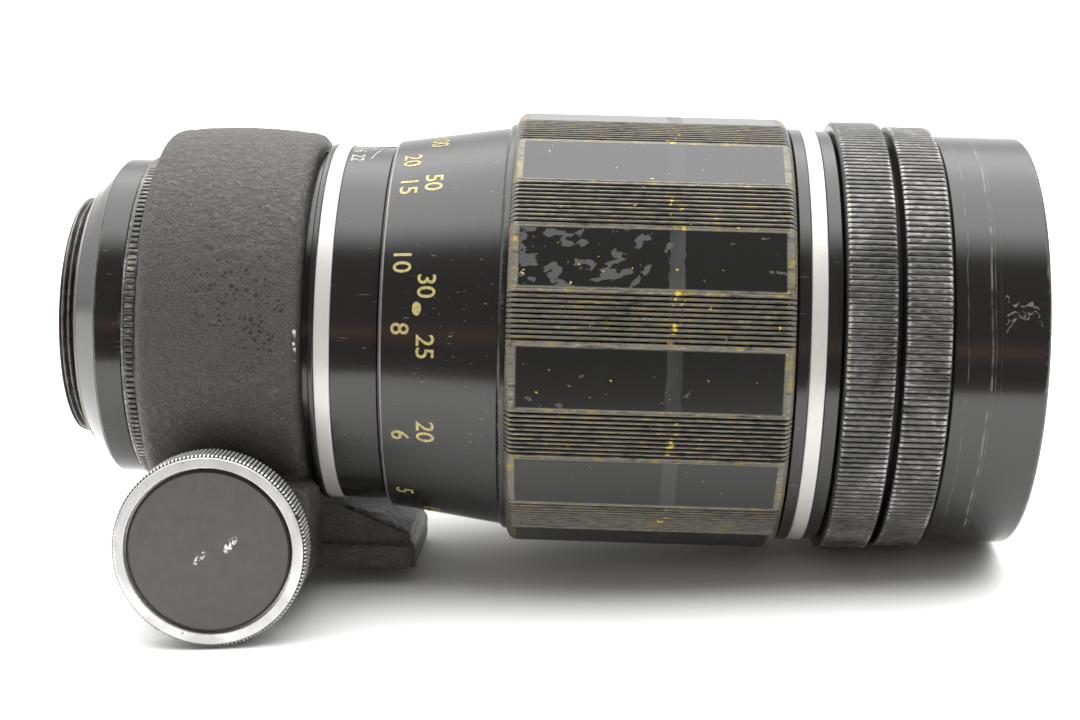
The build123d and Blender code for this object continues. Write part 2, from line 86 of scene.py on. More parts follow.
def bore(node, low=-1e3, high=1e3):
    x, r = rings_of(node)
    return float(r[(x > low - 1e-3) & (x < high + 1e-3)].min())


print("grip from", span("focus_grip_ring"), "radius", round(outer("focus_grip_ring"), 2))

# %% [markdown]
# ## A half section with softened corners
# No edge on a machined part is truly sharp: it catches a line of light, and its paint wears away first. Each
# corner of a half section is written as (x, radius, softness, wear). The corner becomes a small curve, and
# wear is kept beside it as a number that fades out a short way along each side. A bevel modifier could
# round the corner too, but it wouldn't say where the paint is thin.

# %% Soften a section
def soften(corners, fade=0.1, steps=4):
    """The section's points as (x, radius, wear), in millimetres."""
    points = []
    for i, (x, r, softness, wear) in enumerate(corners):
        here = np.array([x, r])
        sides = [np.array(corners[k][:2]) - here for k in (i - 1, (i + 1) % len(corners))]
        lengths = [np.linalg.norm(side) for side in sides]
        ways = [side / length for side, length in zip(sides, lengths)]
        reach = min(softness, 0.45 * min(lengths))
        if 2 * (reach + fade) < lengths[0]:
            points.append((*(here + ways[0] * (reach + fade)), 0.0))
        for t in np.linspace(0, 1, steps + 1) if reach > 0 else [0.5]:
            curve = here + ways[0] * reach * (1 - t) ** 2 + ways[1] * reach * t ** 2
            points.append((*curve, wear))
        if 2 * (reach + fade) < lengths[1]:
            points.append((*(here + ways[1] * (reach + fade)), 0.0))
    return np.array(points)


square = [(0, 0, 0, 0), (0, 5, 0.3, 1), (5, 5, 0, 0), (5, 0, 0, 0)]
print("a square with one soft corner becomes", len(soften(square)), "points")

# %% [markdown]
# ## Spinning a section into a piece
# The screw modifier spins a profile, but teeth and flats have to be cut round the ring as well. So the piece
# is made as a grid of points: one row for each angle, one column for each point of the section. A cutter
# may then move any point of the grid before the faces are made. The wear goes along as a vertex attribute,
# which the paint reads.

# %% Spin a section
def piece_from(name, points, faces, wear=None):
    """A piece from points in millimetres, its faces turned outward and smooth except over real edges."""
    mesh = bpy.data.meshes.new(name)
    mesh.from_pydata((np.asarray(points) * MM).tolist(), [], np.asarray(faces).tolist())
    shell = bmesh.new()
    shell.from_mesh(mesh)
    if shell.calc_volume(signed=True) < 0:
        bmesh.ops.reverse_faces(shell, faces=shell.faces)
    shell.to_mesh(mesh)
    shell.free()
    mesh.shade_smooth()
    mesh.set_sharp_from_angle(angle=math.radians(34))
    values = np.zeros(len(mesh.vertices), np.float32) if wear is None else np.ravel(wear)
    mesh.attributes.new("wear", "FLOAT", "POINT").data.foreach_set("value", values.astype(np.float32))
    piece = bpy.data.objects.new(name, mesh)
    bpy.context.scene.collection.objects.link(piece)
    return piece


def spin(name, corners, angles=None, cut=None, fade=0.1):
    """Spins a section about the axis. cut(angle, x, r, wear) gives new radii and wear."""
    section = soften(corners, fade)
    turn = np.arange(192) * 360 / 192 if angles is None else np.asarray(angles)
    angle, x = np.meshgrid(np.radians(turn), section[:, 0], indexing="ij")
    r = np.tile(section[:, 1], (len(turn), 1))
    wear = np.tile(section[:, 2], (len(turn), 1))
    if cut:
        r, wear = cut(angle, x, r, wear)
    points = np.stack([x, r * np.cos(angle), r * np.sin(angle)], -1).reshape(-1, 3)
    rows, columns = x.shape
    i, j = np.meshgrid(np.arange(rows), np.arange(columns), indexing="ij")
    down, along = (i + 1) % rows * columns, (j + 1) % columns
    faces = np.stack([i * columns + j, i * columns + along, down + along, down + j], -1).reshape(-1, 4)
    return piece_from(name, points, faces, wear)


def stands_for(piece, *nodes, finish=None):
    """The piece rides with its nodes' body, takes their place, and is painted."""
    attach(piece, body_of[nodes[0]])
    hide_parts(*nodes)
    if finish:
        piece.data.materials.append(finish)
    return piece


# %% [markdown]
# ## Finishes
# Each finish is one material built from nodes. All of them measure in millimetres in the piece's own space,
# so the grain has its true size and turns with the ring. Only numbers that vary over the surface are
# linked. What is the same everywhere is set on the shader itself.

# %% Short ways to add nodes
class Finish:
    """One material, and short ways to add nodes to it."""

    def __init__(self, name, roughness=0.4, metallic=0.0, specular=0.5, coat=0.0):
        self.material = bpy.data.materials.new(name)
        self.material.use_nodes = True
        self.tree = self.material.node_tree
        self.shader = self.tree.nodes["Principled BSDF"]
        self.shader.inputs["Roughness"].default_value = roughness
        self.shader.inputs["Metallic"].default_value = metallic
        self.shader.inputs["Specular IOR Level"].default_value = specular
        self.shader.inputs["Coat Weight"].default_value = coat
        place = self.add("ShaderNodeTexCoord").outputs["Object"]
        scaled = {0: place, "Scale": 1 / MM}
        self.place = self.add("ShaderNodeVectorMath", scaled, operation="SCALE").outputs[0]

    def add(self, kind, inputs=None, **settings):
        node = self.tree.nodes.new(kind)
        for key, value in settings.items():
            setattr(node, key, value)
        for key, value in (inputs or {}).items():
            if isinstance(value, bpy.types.NodeSocket):
                self.tree.links.new(value, node.inputs[key])
            else:
                node.inputs[key].default_value = value
        return node

    def stretch(self, x, y, z):
        """The place, with each direction scaled; a small scale draws the grain out that way."""
        scaled = {0: self.place, 1: (x, y, z)}
        return self.add("ShaderNodeVectorMath", scaled, operation="MULTIPLY").outputs[0]

    def grain(self, scale, detail=3.0, place=None, roughness=0.5):
        return self.add("ShaderNodeTexNoise", {
            "Vector": place or self.place, "Scale": scale, "Detail": detail,
            "Roughness": roughness}).outputs[0]

    def ramp(self, value, low, high, start=0.0, end=1.0):
        return self.add("ShaderNodeMapRange", interpolation_type="SMOOTHSTEP", inputs={
            "Value": value, "From Min": low, "From Max": high, "To Min": start, "To Max": end}).outputs[0]

    def math(self, operation, a, b=0.0, clamp=False):
        return self.add("ShaderNodeMath", {0: a, 1: b}, operation=operation, use_clamp=clamp).outputs[0]

    def times(self, a, b, clamp=False):
        return self.math("MULTIPLY", a, b, clamp)

    def plus(self, a, b):
        return self.math("ADD", a, b)

    def less(self, a, b):
        return self.math("SUBTRACT", a, b)

    def larger(self, a, b):
        return self.math("MAXIMUM", a, b)

    def mix(self, share, a, b):
        """A colour between a and b."""
        node = self.add("ShaderNodeMix", data_type="RGBA")
        for socket, value in ((node.inputs[0], share), (node.inputs[6], a), (node.inputs[7], b)):
            if isinstance(value, bpy.types.NodeSocket):
                self.tree.links.new(value, socket)
            elif hasattr(value, "__len__"):
                socket.default_value = (*value, 1)
            else:
                socket.default_value = value
        return node.outputs[2]

    def blend(self, share, a, b):
        """A number between a and b."""
        return self.add("ShaderNodeMapRange", inputs={"Value": share, "To Min": a, "To Max": b}).outputs[0]

    def wear(self):
        return self.add("ShaderNodeAttribute", attribute_name="wear").outputs["Fac"]

    def along(self):
        """The place along the axis, the two others across it, and the distance from it."""
        parts = self.add("ShaderNodeSeparateXYZ", inputs={0: self.place})
        x, y, z = parts.outputs
        square = self.plus(self.times(y, y), self.times(z, z))
        return x, y, z, self.math("SQRT", square)

    def turned_place(self, fineness=1.0):
        """A place in which the lathe's marks run round the axis."""
        x, y, z, r = self.along()
        return self.add("ShaderNodeCombineXYZ", inputs={0: self.times(x, fineness),
                        1: self.times(r, fineness), 2: 0.0}).outputs[0]

    def bump(self, height, depth, strength=1.0, under=None):
        node = self.add("ShaderNodeBump", {"Height": height, "Distance": depth * MM, "Strength": strength})
        if under:
            self.tree.links.new(under, node.inputs["Normal"])
        return node.outputs[0]

    def use(self, **links):
        names = {"colour": "Base Color", "metal": "Metallic", "rough": "Roughness", "normal": "Normal"}
        for key, value in links.items():
            socket = self.shader.inputs[names[key]]
            if isinstance(value, bpy.types.NodeSocket):
                self.tree.links.new(value, socket)
            else:
                socket.default_value = (*value, 1) if hasattr(value, "__len__") else value
        return self.material


# %% [markdown]
# ## Gloss black enamel
# The barrel is brass and aluminium under a thin, hard, glossy black. Up close it has faint turned lines,
# dust, hairline scratches, and bare metal where hands and caps have rubbed the edges. The colour mixes
# black with a little grey dust. Where the wear attribute and a fine noise are both high, it turns to bare
# metal.

# %% Black enamel
BLACK = (0.0125, 0.012, 0.0115)
BARE = (0.24, 0.225, 0.195)


def enamel(name, gloss=0.17, edge_wear=0.5, scratches=0.3):
    f = Finish(name, specular=0.6)
    dust = f.ramp(f.grain(2.2, 5.0), 0.55, 0.8, 0.0, 0.5)
    hair = f.ramp(f.grain(1.0, 2.0, f.stretch(0.35, 3.1, 2.7)), 0.715, 0.74)
    specks = f.ramp(f.grain(1.7, 2.0), 0.745, 0.77)
    marks = f.times(f.larger(hair, specks), scratches)
    thin = f.ramp(f.plus(f.times(f.wear(), edge_wear), f.times(f.grain(0.7, 4.0), 0.5)), 0.45, 0.85)
    colour = f.mix(f.times(dust, 0.35), BLACK, (0.045, 0.043, 0.04))
    colour = f.mix(marks, colour, (0.20, 0.19, 0.175))
    colour = f.mix(thin, colour, BARE)
    rough = f.blend(dust, gloss, gloss + 0.14)
    rough = f.larger(rough, f.times(thin, 0.42))
    lathe_lines = f.grain(9.0, 2.0, f.turned_place(3.0))
    return f.use(colour=colour, metal=f.times(thin, 0.5), rough=rough,
                 normal=f.bump(lathe_lines, 0.004, 0.5))


gloss_black = enamel("gloss_black_enamel")
worn_black = enamel("worn_black_enamel", gloss=0.19, edge_wear=0.75, scratches=0.5)
print("made", gloss_black.name, "and", worn_black.name)

# %% [markdown]
# ## Worn enamel on the ribs and teeth
# Ribs and teeth are rubbed all the time, so the black is thin over their whole crests: grey at first, then
# silvery, with yellow brass at the worst places. The wear attribute is high on every crest, and two noises
# of different size decide how far each place has gone.

# %% Ribs and teeth
def rubbed(name, rub, brass_share, gloss=0.3):
    f = Finish(name, specular=0.6)
    crest = f.wear()
    patch = f.grain(0.16, 2.0)
    fine = f.grain(2.6, 4.0, f.stretch(0.35, 1.3, 1.3))
    amount = f.plus(f.times(patch, 0.45), f.times(fine, 0.55))
    amount = f.times(f.ramp(amount, 0.28, 0.68), crest)
    thin = f.times(f.ramp(amount, 0.05, 0.5), rub, clamp=True)
    bare = f.times(f.ramp(amount, 0.5, 1.0), rub, clamp=True)
    yellow = f.times(f.ramp(f.grain(0.55, 3.0), 0.5, 0.66), brass_share, clamp=True)
    metal_colour = f.mix(yellow, (0.47, 0.45, 0.41), (0.60, 0.47, 0.16))
    colour = f.mix(thin, (0.012, 0.012, 0.0115), (0.085, 0.083, 0.077))
    colour = f.mix(bare, colour, metal_colour)
    lines = f.grain(8.0, 2.0, f.stretch(0.3, 2.0, 2.0))
    return f.use(colour=colour, metal=f.times(bare, 0.5), rough=f.blend(amount, gloss, 0.46),
                 normal=f.bump(lines, 0.02, 0.5))


tooth_black = rubbed("rubbed_tooth_enamel", rub=0.75, brass_share=0.1)
print("made", tooth_black.name)

# %% [markdown]
# ## Other metals and paints
# The casting's paint is a semi-matt black crackle, thick enough to round every edge, with round pits where
# it has been knocked. Its creases and pits are painted darker, as painted shade. The satin rings are turned
# aluminium, fogged so that they look even and bright. The inside is matt black, to swallow stray light.

# %% Crackle, satin, steel, brass and matt black
def crackle_paint():
    f = Finish("crackle_black")
    x, y, z, r = f.along()
    wrinkle = f.grain(1.15, 4.0, f.stretch(0.7, 1.0, 1.3), 0.6)
    creases = f.ramp(f.math("ABSOLUTE", f.less(wrinkle, 0.5)), 0.0, 0.09)
    fine = f.grain(4.2, 3.0, roughness=0.7)
    away = f.plus(f.math("POWER", f.times(f.less(x, 30.0), 0.13), 2.0),
                  f.math("POWER", f.times(f.less(z, 6.0), 0.11), 2.0))
    cluster = f.times(f.ramp(away, 3.0, 0.0, 0.1, 0.75), f.ramp(y, 0.0, -10.0))
    cell = f.add("ShaderNodeTexVoronoi", inputs={"Vector": f.place, "Scale": 1.25}).outputs
    size = f.less(f.times(cell["Color"], cluster), 0.1)
    pits = f.ramp(f.less(size, cell["Distance"]), 0.0, 0.12)
    chips = f.ramp(f.plus(f.times(f.wear(), 0.42), f.grain(0.9, 4.0)), 0.90, 0.94)
    colour = f.mix(f.ramp(fine, 0.35, 0.7), (0.024, 0.0225, 0.021), (0.080, 0.075, 0.069))
    # Painted shade: the crackle's creases and the pits are darkened.
    colour = f.mix(f.ramp(creases, 0.0, 0.8, 0.35, 0.0), colour, (0.014, 0.013, 0.012))
    colour = f.mix(pits, colour, (0.006, 0.006, 0.006))
    colour = f.mix(chips, colour, (0.6, 0.58, 0.55))
    skin = f.bump(f.less(creases, f.times(pits, 1.5)), 0.10, 0.8)
    return f.use(colour=colour, rough=f.blend(fine, 0.5, 0.36), normal=f.bump(fine, 0.14, 0.8, skin))


def fogged_metal(name, colour, metallic, roughness, lines=0.006, stain=(0.42, 0.38, 0.33)):
    f = Finish(name)
    rings = f.grain(6.0, 3.0, f.turned_place(4.0))
    marks = f.ramp(f.grain(0.8, 4.0), 0.62, 0.78, 0.0, 0.5)
    shade = f.mix(f.ramp(rings, 0.2, 0.8, 0.0, 0.25), colour, [0.72 * c for c in colour])
    shade = f.mix(marks, shade, stain)
    rough = f.ramp(rings, 0.2, 0.8, roughness - 0.06, roughness + 0.06)
    return f.use(colour=shade, metal=metallic, rough=rough, normal=f.bump(rings, lines, 0.6))


def matt_black(name="matt_black", tone=0.012):
    f = Finish(name)
    cloud = f.ramp(f.grain(1.4, 4.0), 0.4, 0.7)
    return f.use(colour=f.mix(cloud, [tone] * 3, [2.2 * tone] * 3), rough=f.blend(cloud, 0.5, 0.66),
                 normal=f.bump(f.grain(7.0), 0.01, 0.4))


crackle_black = crackle_paint()
satin_silver = fogged_metal("satin_aluminium", (0.56, 0.547, 0.525), 0.4, 0.4)
turned_steel = fogged_metal("turned_steel", (0.5, 0.5, 0.5), 0.9, 0.32)
turned_brass = fogged_metal("turned_brass", (0.72, 0.55, 0.26), 0.9, 0.34, stain=(0.3, 0.2, 0.1))
blued_steel = fogged_metal("blued_steel", (0.09, 0.095, 0.12), 0.8, 0.36, stain=(0.12, 0.1, 0.09))
inside_black = matt_black()
print("made", len(bpy.data.materials), "finishes so far")

# %% [markdown]
# ## Coated glass
# Photographic glass is clear, and its surfaces carry a thin coating that turns reflections amber and violet.
# The shader's own thin film gives that colour without any painted tint, and the glass stays see-through.

# %% Coated glass
def coated_glass():
    f = Finish("coated_glass", roughness=0.0)
    inputs = f.shader.inputs
    inputs["Transmission Weight"].default_value = 1.0
    inputs["IOR"].default_value = 1.52
    inputs["Thin Film Thickness"].default_value = 105.0
    inputs["Thin Film IOR"].default_value = 1.38
    haze = f.ramp(f.grain(0.5, 4.0), 0.4, 0.8, 0.0, 0.03)
    return f.use(colour=f.mix(haze, (0.97, 0.98, 0.97), (0.8, 0.84, 0.8)), rough=haze)


lens_glass = coated_glass()
print("made", lens_glass.name)

# %% [markdown]
# ## Screw mount
# The mount's thread is what the camera holds. A true thread is one long ridge that climbs 1 mm each turn, so
# the cutter lowers each point by where it is along the axis less how far round it is. Its crests are
# rubbed bright and its grooves stay black.

# %% Mount ring with its thread
def groove(phase, share):
    """How deep a V groove is at a phase from 0 to 1, where share of the pitch is groove."""
    return np.clip(1 - np.abs(phase % 1 - 0.5) * 2 / share, 0, 1)


def thread_cut(pitch, depth, low, high, seat, inward=False):
    """Cuts a helical thread into the wall at radius seat, between two places along the axis."""
    def cut(angle, x, r, wear):
        deep = groove(x / pitch - angle / (2 * math.pi), 0.92)
        fade = np.clip((x - low) / 0.3, 0, 1) * np.clip((high - x) / 0.3, 0, 1)
        here = (np.abs(r - seat) < 0.02) & (x > low) & (x < high)
        change = depth * deep * fade * (1 if inward else -1)
        return np.where(here, r + change, r), np.where(here, 1 - 0.98 * deep ** 0.6, wear)
    return cut


MOUNT_PITCH, MOUNT_THREAD_DEPTH = 1.0, 0.55
mount_x, mount_end = span("screw_mount_ring")
thread_r = outer("screw_mount_ring", mount_x, mount_x)
flange_r = outer("screw_mount_ring", 0, 0)
rear_x = span("rear_collar_ring")[0]
cone_r = outer("screw_mount_ring", rear_x, rear_x)
mount_bore = bore("screw_mount_ring", mount_x, mount_x)
neck_bore = outer("screw_mount_ring", mount_end - 0.1, mount_end)
thread_points = [(x, thread_r, 0, 0.4) for x in np.arange(mount_x + 0.35, -0.3, 0.09)]
mount_corners = [
    (mount_x, mount_bore, 0.2, 0.3), (mount_x, thread_r - 0.35, 0, 0.5), (mount_x + 0.25, thread_r, 0, 0.5),
    *thread_points, (-0.25, thread_r, 0, 0), (-0.2, thread_r - 0.5, 0, 0), (0, thread_r - 0.5, 0, 0),
    (0, flange_r, 0.08, 1), (0.3, flange_r, 0.08, 1), (rear_x, cone_r, 0.12, 0.9),
    (rear_x, neck_bore, 0, 0), (mount_end, neck_bore, 0, 0), (mount_end, mount_bore, 0, 0)]
mount_cut = thread_cut(MOUNT_PITCH, MOUNT_THREAD_DEPTH, mount_x + 0.2, -0.22, thread_r)
mount = spin("mount_ring", mount_corners, cut=mount_cut, fade=0.15)
mount_enamel = enamel("mount_enamel", gloss=0.2, edge_wear=0.62, scratches=0.45)
stands_for(mount, "screw_mount_ring", finish=mount_enamel)
print("thread radius", round(thread_r, 2), "flange", round(flange_r, 2))

# %% [markdown]
# ## Rear rings
# Behind the collar are a plain black ring and a narrow lock ring. The lock ring's rim is cut with fine teeth
# that read as a row of beads between two light lines.

# %% Toothed rims
def tooth_angles(teeth, per_tooth=(0.0, 0.07, 0.15, 0.27, 0.42, 0.58, 0.73, 0.85, 0.93)):
    """The angles of a toothed ring, with points on each crest and in each groove."""
    return (np.arange(teeth)[:, None] + np.array(per_tooth)).ravel() * 360 / teeth


def teeth_cut(teeth, depth, rim, sharp=5, low=-1e3, high=1e3, crest_wear=1.0):
    """Cuts straight grooves along the axis into a rim; a higher sharp gives broader crests."""
    def cut(angle, x, r, wear):
        deep = np.abs(angle / (2 * math.pi) * teeth % 1 * 2 - 1) ** sharp
        limit = rim - depth * deep
        here = (r > rim - depth) & (x > low) & (x < high)
        tips = np.clip(1 - 1.6 * deep, 0, 1)
        inside = np.where(here, np.minimum(r, limit), r)
        return inside, np.where(here, np.maximum(wear, crest_wear) * tips, wear)
    return cut


def plain_corners(node, softness=0.3, wear=0.9, chamfer=0.3):
    """A plain ring's section, its two outer edges softened and worn."""
    start, end = span(node)
    rim, hole = outer(node), bore(node)
    return [(start, hole, 0, 0), (start, rim - chamfer, 0.1, wear), (start + chamfer, rim, softness, wear),
            (end - chamfer, rim, softness, wear), (end, rim - chamfer, 0.1, wear), (end, hole, 0, 0)]


def plain_ring(name, node, finish, softness, wear, chamfer=0.3):
    """A plain ring in the place of its node."""
    stands_for(spin(name, plain_corners(node, softness, wear, chamfer)), node, finish=finish)


plain_ring("rear_ring", "rear_collar_ring", gloss_black, 0.1, 0.5)

LOCK_TEETH, LOCK_TOOTH_DEPTH = 173, 0.32
lock_x, lock_end = span("serrated_lock_ring")
lock_r, lock_hole = outer("serrated_lock_ring"), bore("serrated_lock_ring")
lock_corners = [
    (lock_x, lock_hole, 0, 0), (lock_x, lock_r - 0.35, 0.1, 1), (lock_x + 0.35, lock_r - 0.1, 0.1, 1),
    (lock_x + 0.7, lock_r - 0.1, 0.05, 1), (lock_x + 0.85, lock_r, 0.05, 0.7),
    (lock_end - 0.75, lock_r, 0.05, 0.7), (lock_end - 0.6, lock_r - 0.1, 0.05, 1),
    (lock_end - 0.1, lock_r - 0.1, 0.05, 1), (lock_end, lock_hole, 0, 0)]
lock_teeth = teeth_cut(LOCK_TEETH, LOCK_TOOTH_DEPTH, lock_r, 4, lock_x + 0.72, lock_end - 0.62)
lock = spin("lock_ring", lock_corners, tooth_angles(LOCK_TEETH), lock_teeth, fade=0.12)
stands_for(lock, "serrated_lock_ring", finish=tooth_black)
print("lock ring", round(lock_r, 2), "with", LOCK_TEETH, "teeth")

# %% [markdown]
# ## Tripod collar casting
# Band, foot and clamp ear are one casting under thick crackle paint, so no edge is crisp and the skin is
# uneven. Its form is already in the frame. A copy is turned into small even voxels, smoothed a little to
# round the edges, and pushed in and out by noise for the crackle. The bore keeps its size, because the
# barrel turns in it.

# %% Cast and paint the collar
def casting(name, node, voxel, bore_clear, rounds, relief):
    """A cast copy of a node: voxels, rounded edges, and a crackled skin outside its bore."""
    piece = frame["nodes"][node].copy()
    piece.data = frame["nodes"][node].data.copy()
    piece.parent = None
    for key in list(piece.keys()):
        del piece[key]
    bpy.context.scene.collection.objects.link(piece)
    voxels = piece.modifiers.new("voxels", "REMESH")
    voxels.mode = "VOXEL"
    voxels.voxel_size = voxel * MM
    bpy.context.view_layer.update()
    mesh = bpy.data.meshes.new_from_object(piece.evaluated_get(bpy.context.evaluated_depsgraph_get()))
    bpy.data.objects.remove(piece)
    shell = bmesh.new()
    shell.from_mesh(mesh)
    loose = [v for v in shell.verts if math.hypot(v.co.y, v.co.z) > bore_clear * MM]
    for _ in range(rounds):
        bmesh.ops.smooth_vert(shell, verts=loose, factor=0.5,
                              use_axis_x=True, use_axis_y=True, use_axis_z=True)
    shell.normal_update()
    raised = []
    for v in loose:
        p = v.co / MM
        height = noise.noise(p * 0.7) * 0.6 + noise.noise(p * 1.35) * 0.7
        raised.append(v.co + v.normal * (height - 0.5) * relief * MM)
    for v, place in zip(loose, raised):
        v.co = place
    points = [v.co / MM for v in shell.verts]
    faces = [[v.index for v in face.verts] for face in shell.faces]
    shell.free()
    return points, faces


BAND_WIDTH = 27.3
VOXEL, BORE_CLEAR, SMOOTH_ROUNDS, RELIEF = 0.36, 30.7, 5, 0.14
band_end = span("tripod_collar")[0] + BAND_WIDTH
points, faces = casting("tripod_casting", "tripod_collar", VOXEL, BORE_CLEAR, SMOOTH_ROUNDS, RELIEF)
points = np.array([tuple(p) for p in points])
distance = np.hypot(points[:, 1], points[:, 2])
shoulder = np.clip(1 - np.abs(points[:, 0] - (band_end - 0.6)) / 0.9, 0, 1)
shoulder *= (distance > 31.5) * (distance < 34.6)
shoulder *= np.clip(1.3 - np.abs(points[:, 2] - 1.0) / 5.0, 0, 1) * (points[:, 1] < 0)
collar = piece_from("tripod_casting", points, faces, shoulder)
stands_for(collar, "tripod_collar", finish=crackle_black)
print("casting has", len(faces), "faces")

# %% [markdown]
# ## Clamp knob
# The knob is a chromed drum with fine straight knurling round its rim and a black disc let into its face.
# The knurling's grooves are painted near black, as painted shade. Both pieces are spun lying on the lens's
# axis like the rings, then turned to stand on the knob's own screw.

# %% Knob and its disc
KNOB_TEETH, KNOB_TOOTH_DEPTH = 150, 0.42
DISC_GAP = 0.35
knob_low, knob_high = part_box("clamp_knob")
knob_middle = (knob_low + knob_high) / 2
knob_r = (knob_high.x - knob_low.x) / 2 / MM
knob_deep = (knob_high.y - knob_low.y) / MM
inlay_low, inlay_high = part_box("knob_inlay")
inlay_r = (inlay_high.x - inlay_low.x) / 2 / MM
inlay_deep = (inlay_high.y - inlay_low.y) / MM
screw_low, screw_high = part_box("clamp_screw")
screw_r = (screw_high.x - screw_low.x) / 2 / MM
recess = (inlay_high.y - knob_low.y) / MM
on_knob = Matrix.Translation((knob_middle.x, knob_low.y, knob_middle.z)) @ Matrix(
    ((0, 1, 0, 0), (-1, 0, 0, 0), (0, 0, 1, 0), (0, 0, 0, 1)))
knob_corners = [
    (-knob_deep, screw_r, 0, 0), (-knob_deep, knob_r - 1.4, 0.2, 0.5), (-knob_deep + 0.9, knob_r, 0.2, 0.8),
    (-0.75, knob_r, 0.12, 0.9), (0, knob_r - 0.7, 0.2, 0.9), (0, inlay_r + DISC_GAP, 0.1, 0.8),
    (-recess, inlay_r + DISC_GAP, 0, 0), (-recess, screw_r, 0, 0)]
knurl = teeth_cut(KNOB_TEETH, KNOB_TOOTH_DEPTH, knob_r, 1.6, -knob_deep + 0.2, 0.1)
knob = spin("clamp_knob_drum", knob_corners, tooth_angles(KNOB_TEETH), knurl)
knob.matrix_world = on_knob
top = -recess + inlay_deep
inlay_corners = [(-recess, 0.02, 0, 0), (-recess, inlay_r, 0, 0), (top - 0.25, inlay_r, 0.1, 1),
                 (top, inlay_r - 0.3, 0.2, 1), (top, inlay_r * 0.5, 0, 0), (top, 0.02, 0, 0)]
inlay = spin("knob_disc", inlay_corners)
inlay.matrix_world = on_knob


def knob_chrome():
    """Satin chrome, with painted shade darkening the grooves between the teeth."""
    f = Finish("satin_chrome", metallic=0.5)
    x, y, z, r = f.along()
    groove_shade = f.times(f.ramp(f.wear(), 0.55, 0.1), f.ramp(r, knob_r - 0.75, knob_r - 0.6))
    rings = f.grain(6.0, 3.0, f.turned_place(4.0))
    cloud = f.ramp(f.grain(0.16, 2.0), 0.35, 0.65)
    nicks = f.ramp(f.grain(0.9, 3.0), 0.70, 0.73)
    colour = f.mix(cloud, (0.56, 0.56, 0.55), (0.74, 0.74, 0.73))
    colour = f.mix(f.ramp(rings, 0.2, 0.8, 0.0, 0.3), colour, (0.38, 0.38, 0.38))
    colour = f.mix(nicks, colour, (0.05, 0.05, 0.05))
    # Painted shade: the knurl's grooves are darkened to near black.
    colour = f.mix(groove_shade, colour, (0.02, 0.02, 0.02))
    return f.use(colour=colour, rough=f.blend(cloud, 0.34, 0.26), normal=f.bump(rings, 0.006, 0.6))


def disc_paint():
    """Semi-matt black with what is left of a small white print, a rubbed edge, and painted shade round its
    outer rim.
    """
    f = Finish("knob_disc_black")
    x, y, z, r = f.along()
    flakes = f.ramp(f.grain(1.3, 4.0), 0.47, 0.53)
    spots = 0.0
    for across, up, size in ((3.6, 1.2, 1.6), (-1.4, -1.2, 1.3)):
        lean = f.times(f.less(z, up), 0.6)
        side = f.less(f.less(y, across), lean)
        away = f.plus(f.math("POWER", f.times(side, 1.7), 2.0),
                      f.math("POWER", f.less(z, up), 2.0))
        spots = f.larger(f.ramp(away, size ** 2, 0.3 * size ** 2), spots)
    print_left = f.times(spots, flakes)
    cloud = f.ramp(f.grain(0.5, 4.0), 0.35, 0.7)
    colour = f.mix(cloud, (0.066, 0.062, 0.058), (0.076, 0.072, 0.067))
    rim = f.ramp(f.plus(f.times(f.wear(), 0.4), f.grain(0.35, 3.0)), 1.03, 1.08)
    colour = f.mix(rim, f.mix(print_left, colour, (0.75, 0.74, 0.72)), (0.5, 0.5, 0.48))
    # Painted shade: the disc's outer edge, next to the gap round it, is darkened to near black.
    colour = f.mix(f.ramp(r, inlay_r - 0.55, inlay_r - 0.4), colour, (0.008, 0.008, 0.008))
    return f.use(colour=colour, rough=f.blend(cloud, 0.42, 0.52), normal=f.bump(f.grain(5.0), 0.008, 0.5))


stands_for(knob, "clamp_knob", finish=knob_chrome())
stands_for(inlay, "knob_inlay", finish=disc_paint())
print("knob radius", round(knob_r, 2), "disc radius", round(inlay_r, 2))

# %% [markdown]
# ## Trim and scale rings
# In front of the collar come a thin black ring, a bright satin ring, the black depth ring and the long
# scale cone that turns with the focus. The cone's rear edge is worn to a bright line all the way round.

# %% Rings behind the grip
plain_ring("stop_ring", "collar_stop_ring", gloss_black, 0.1, 0.1, 0.2)
plain_ring("rear_bright_ring", "rear_satin_ring", satin_silver, 0.1, 0, 0.15)
plain_ring("depth_ring", "depth_scale_ring", gloss_black, 0.1, 0.15, 0.1)

cone_x, cone_end = span("distance_scale_cone")
cone_rear_r = outer("distance_scale_cone", cone_x, cone_x + 0.5)
cone_front_r = outer("distance_scale_cone")
cone_hole = bore("distance_scale_cone")
cone_corners = [
    (cone_x, cone_hole, 0, 0), (cone_x, cone_rear_r - 0.35, 0.1, 1.1),
    (cone_x + 0.35, cone_rear_r, 0.12, 1.1), (cone_end, cone_front_r, 0.05, 0.2), (cone_end, cone_hole, 0, 0)]
stands_for(spin("scale_cone", cone_corners), "distance_scale_cone", finish=worn_black)

step_x, step_end = span("step_ring")
step_r, step_hole = outer("step_ring"), bore("step_ring")
step_corners = [
    (step_x, step_hole, 0, 0), (step_x, cone_front_r + 0.2, 0.1, 0.2), (step_x + 0.5, step_r, 0.2, 0.3),
    (step_end, step_r, 0.1, 0.15), (step_end, step_hole, 0, 0)]
stands_for(spin("grip_step_ring", step_corners, fade=0.5), "step_ring", finish=worn_black)
print("cone", round(cone_rear_r, 2), "to", round(cone_front_r, 2))

# %% [markdown]
# ## Distance and depth figures
# The figures are engraved and filled with paint, gold on the cone and silver on the depth ring. Each one is
# ordinary text made into a mesh, cut into narrow strips, and laid round the ring, so that it bends with
# the surface. A place on the scale follows from the helicoid: the ring turns by the same angle for equal
# steps of one over the distance.

# %% Lay figures on a ring
def paint_fill(name, colour):
    f = Finish(name)
    patch = f.ramp(f.grain(2.4, 4.0), 0.35, 0.75)
    return f.use(colour=f.mix(patch, colour, [0.45 * c for c in colour]), rough=f.blend(patch, 0.35, 0.55),
                 metal=0.25, normal=f.bump(f.grain(9.0), 0.01, 0.5))


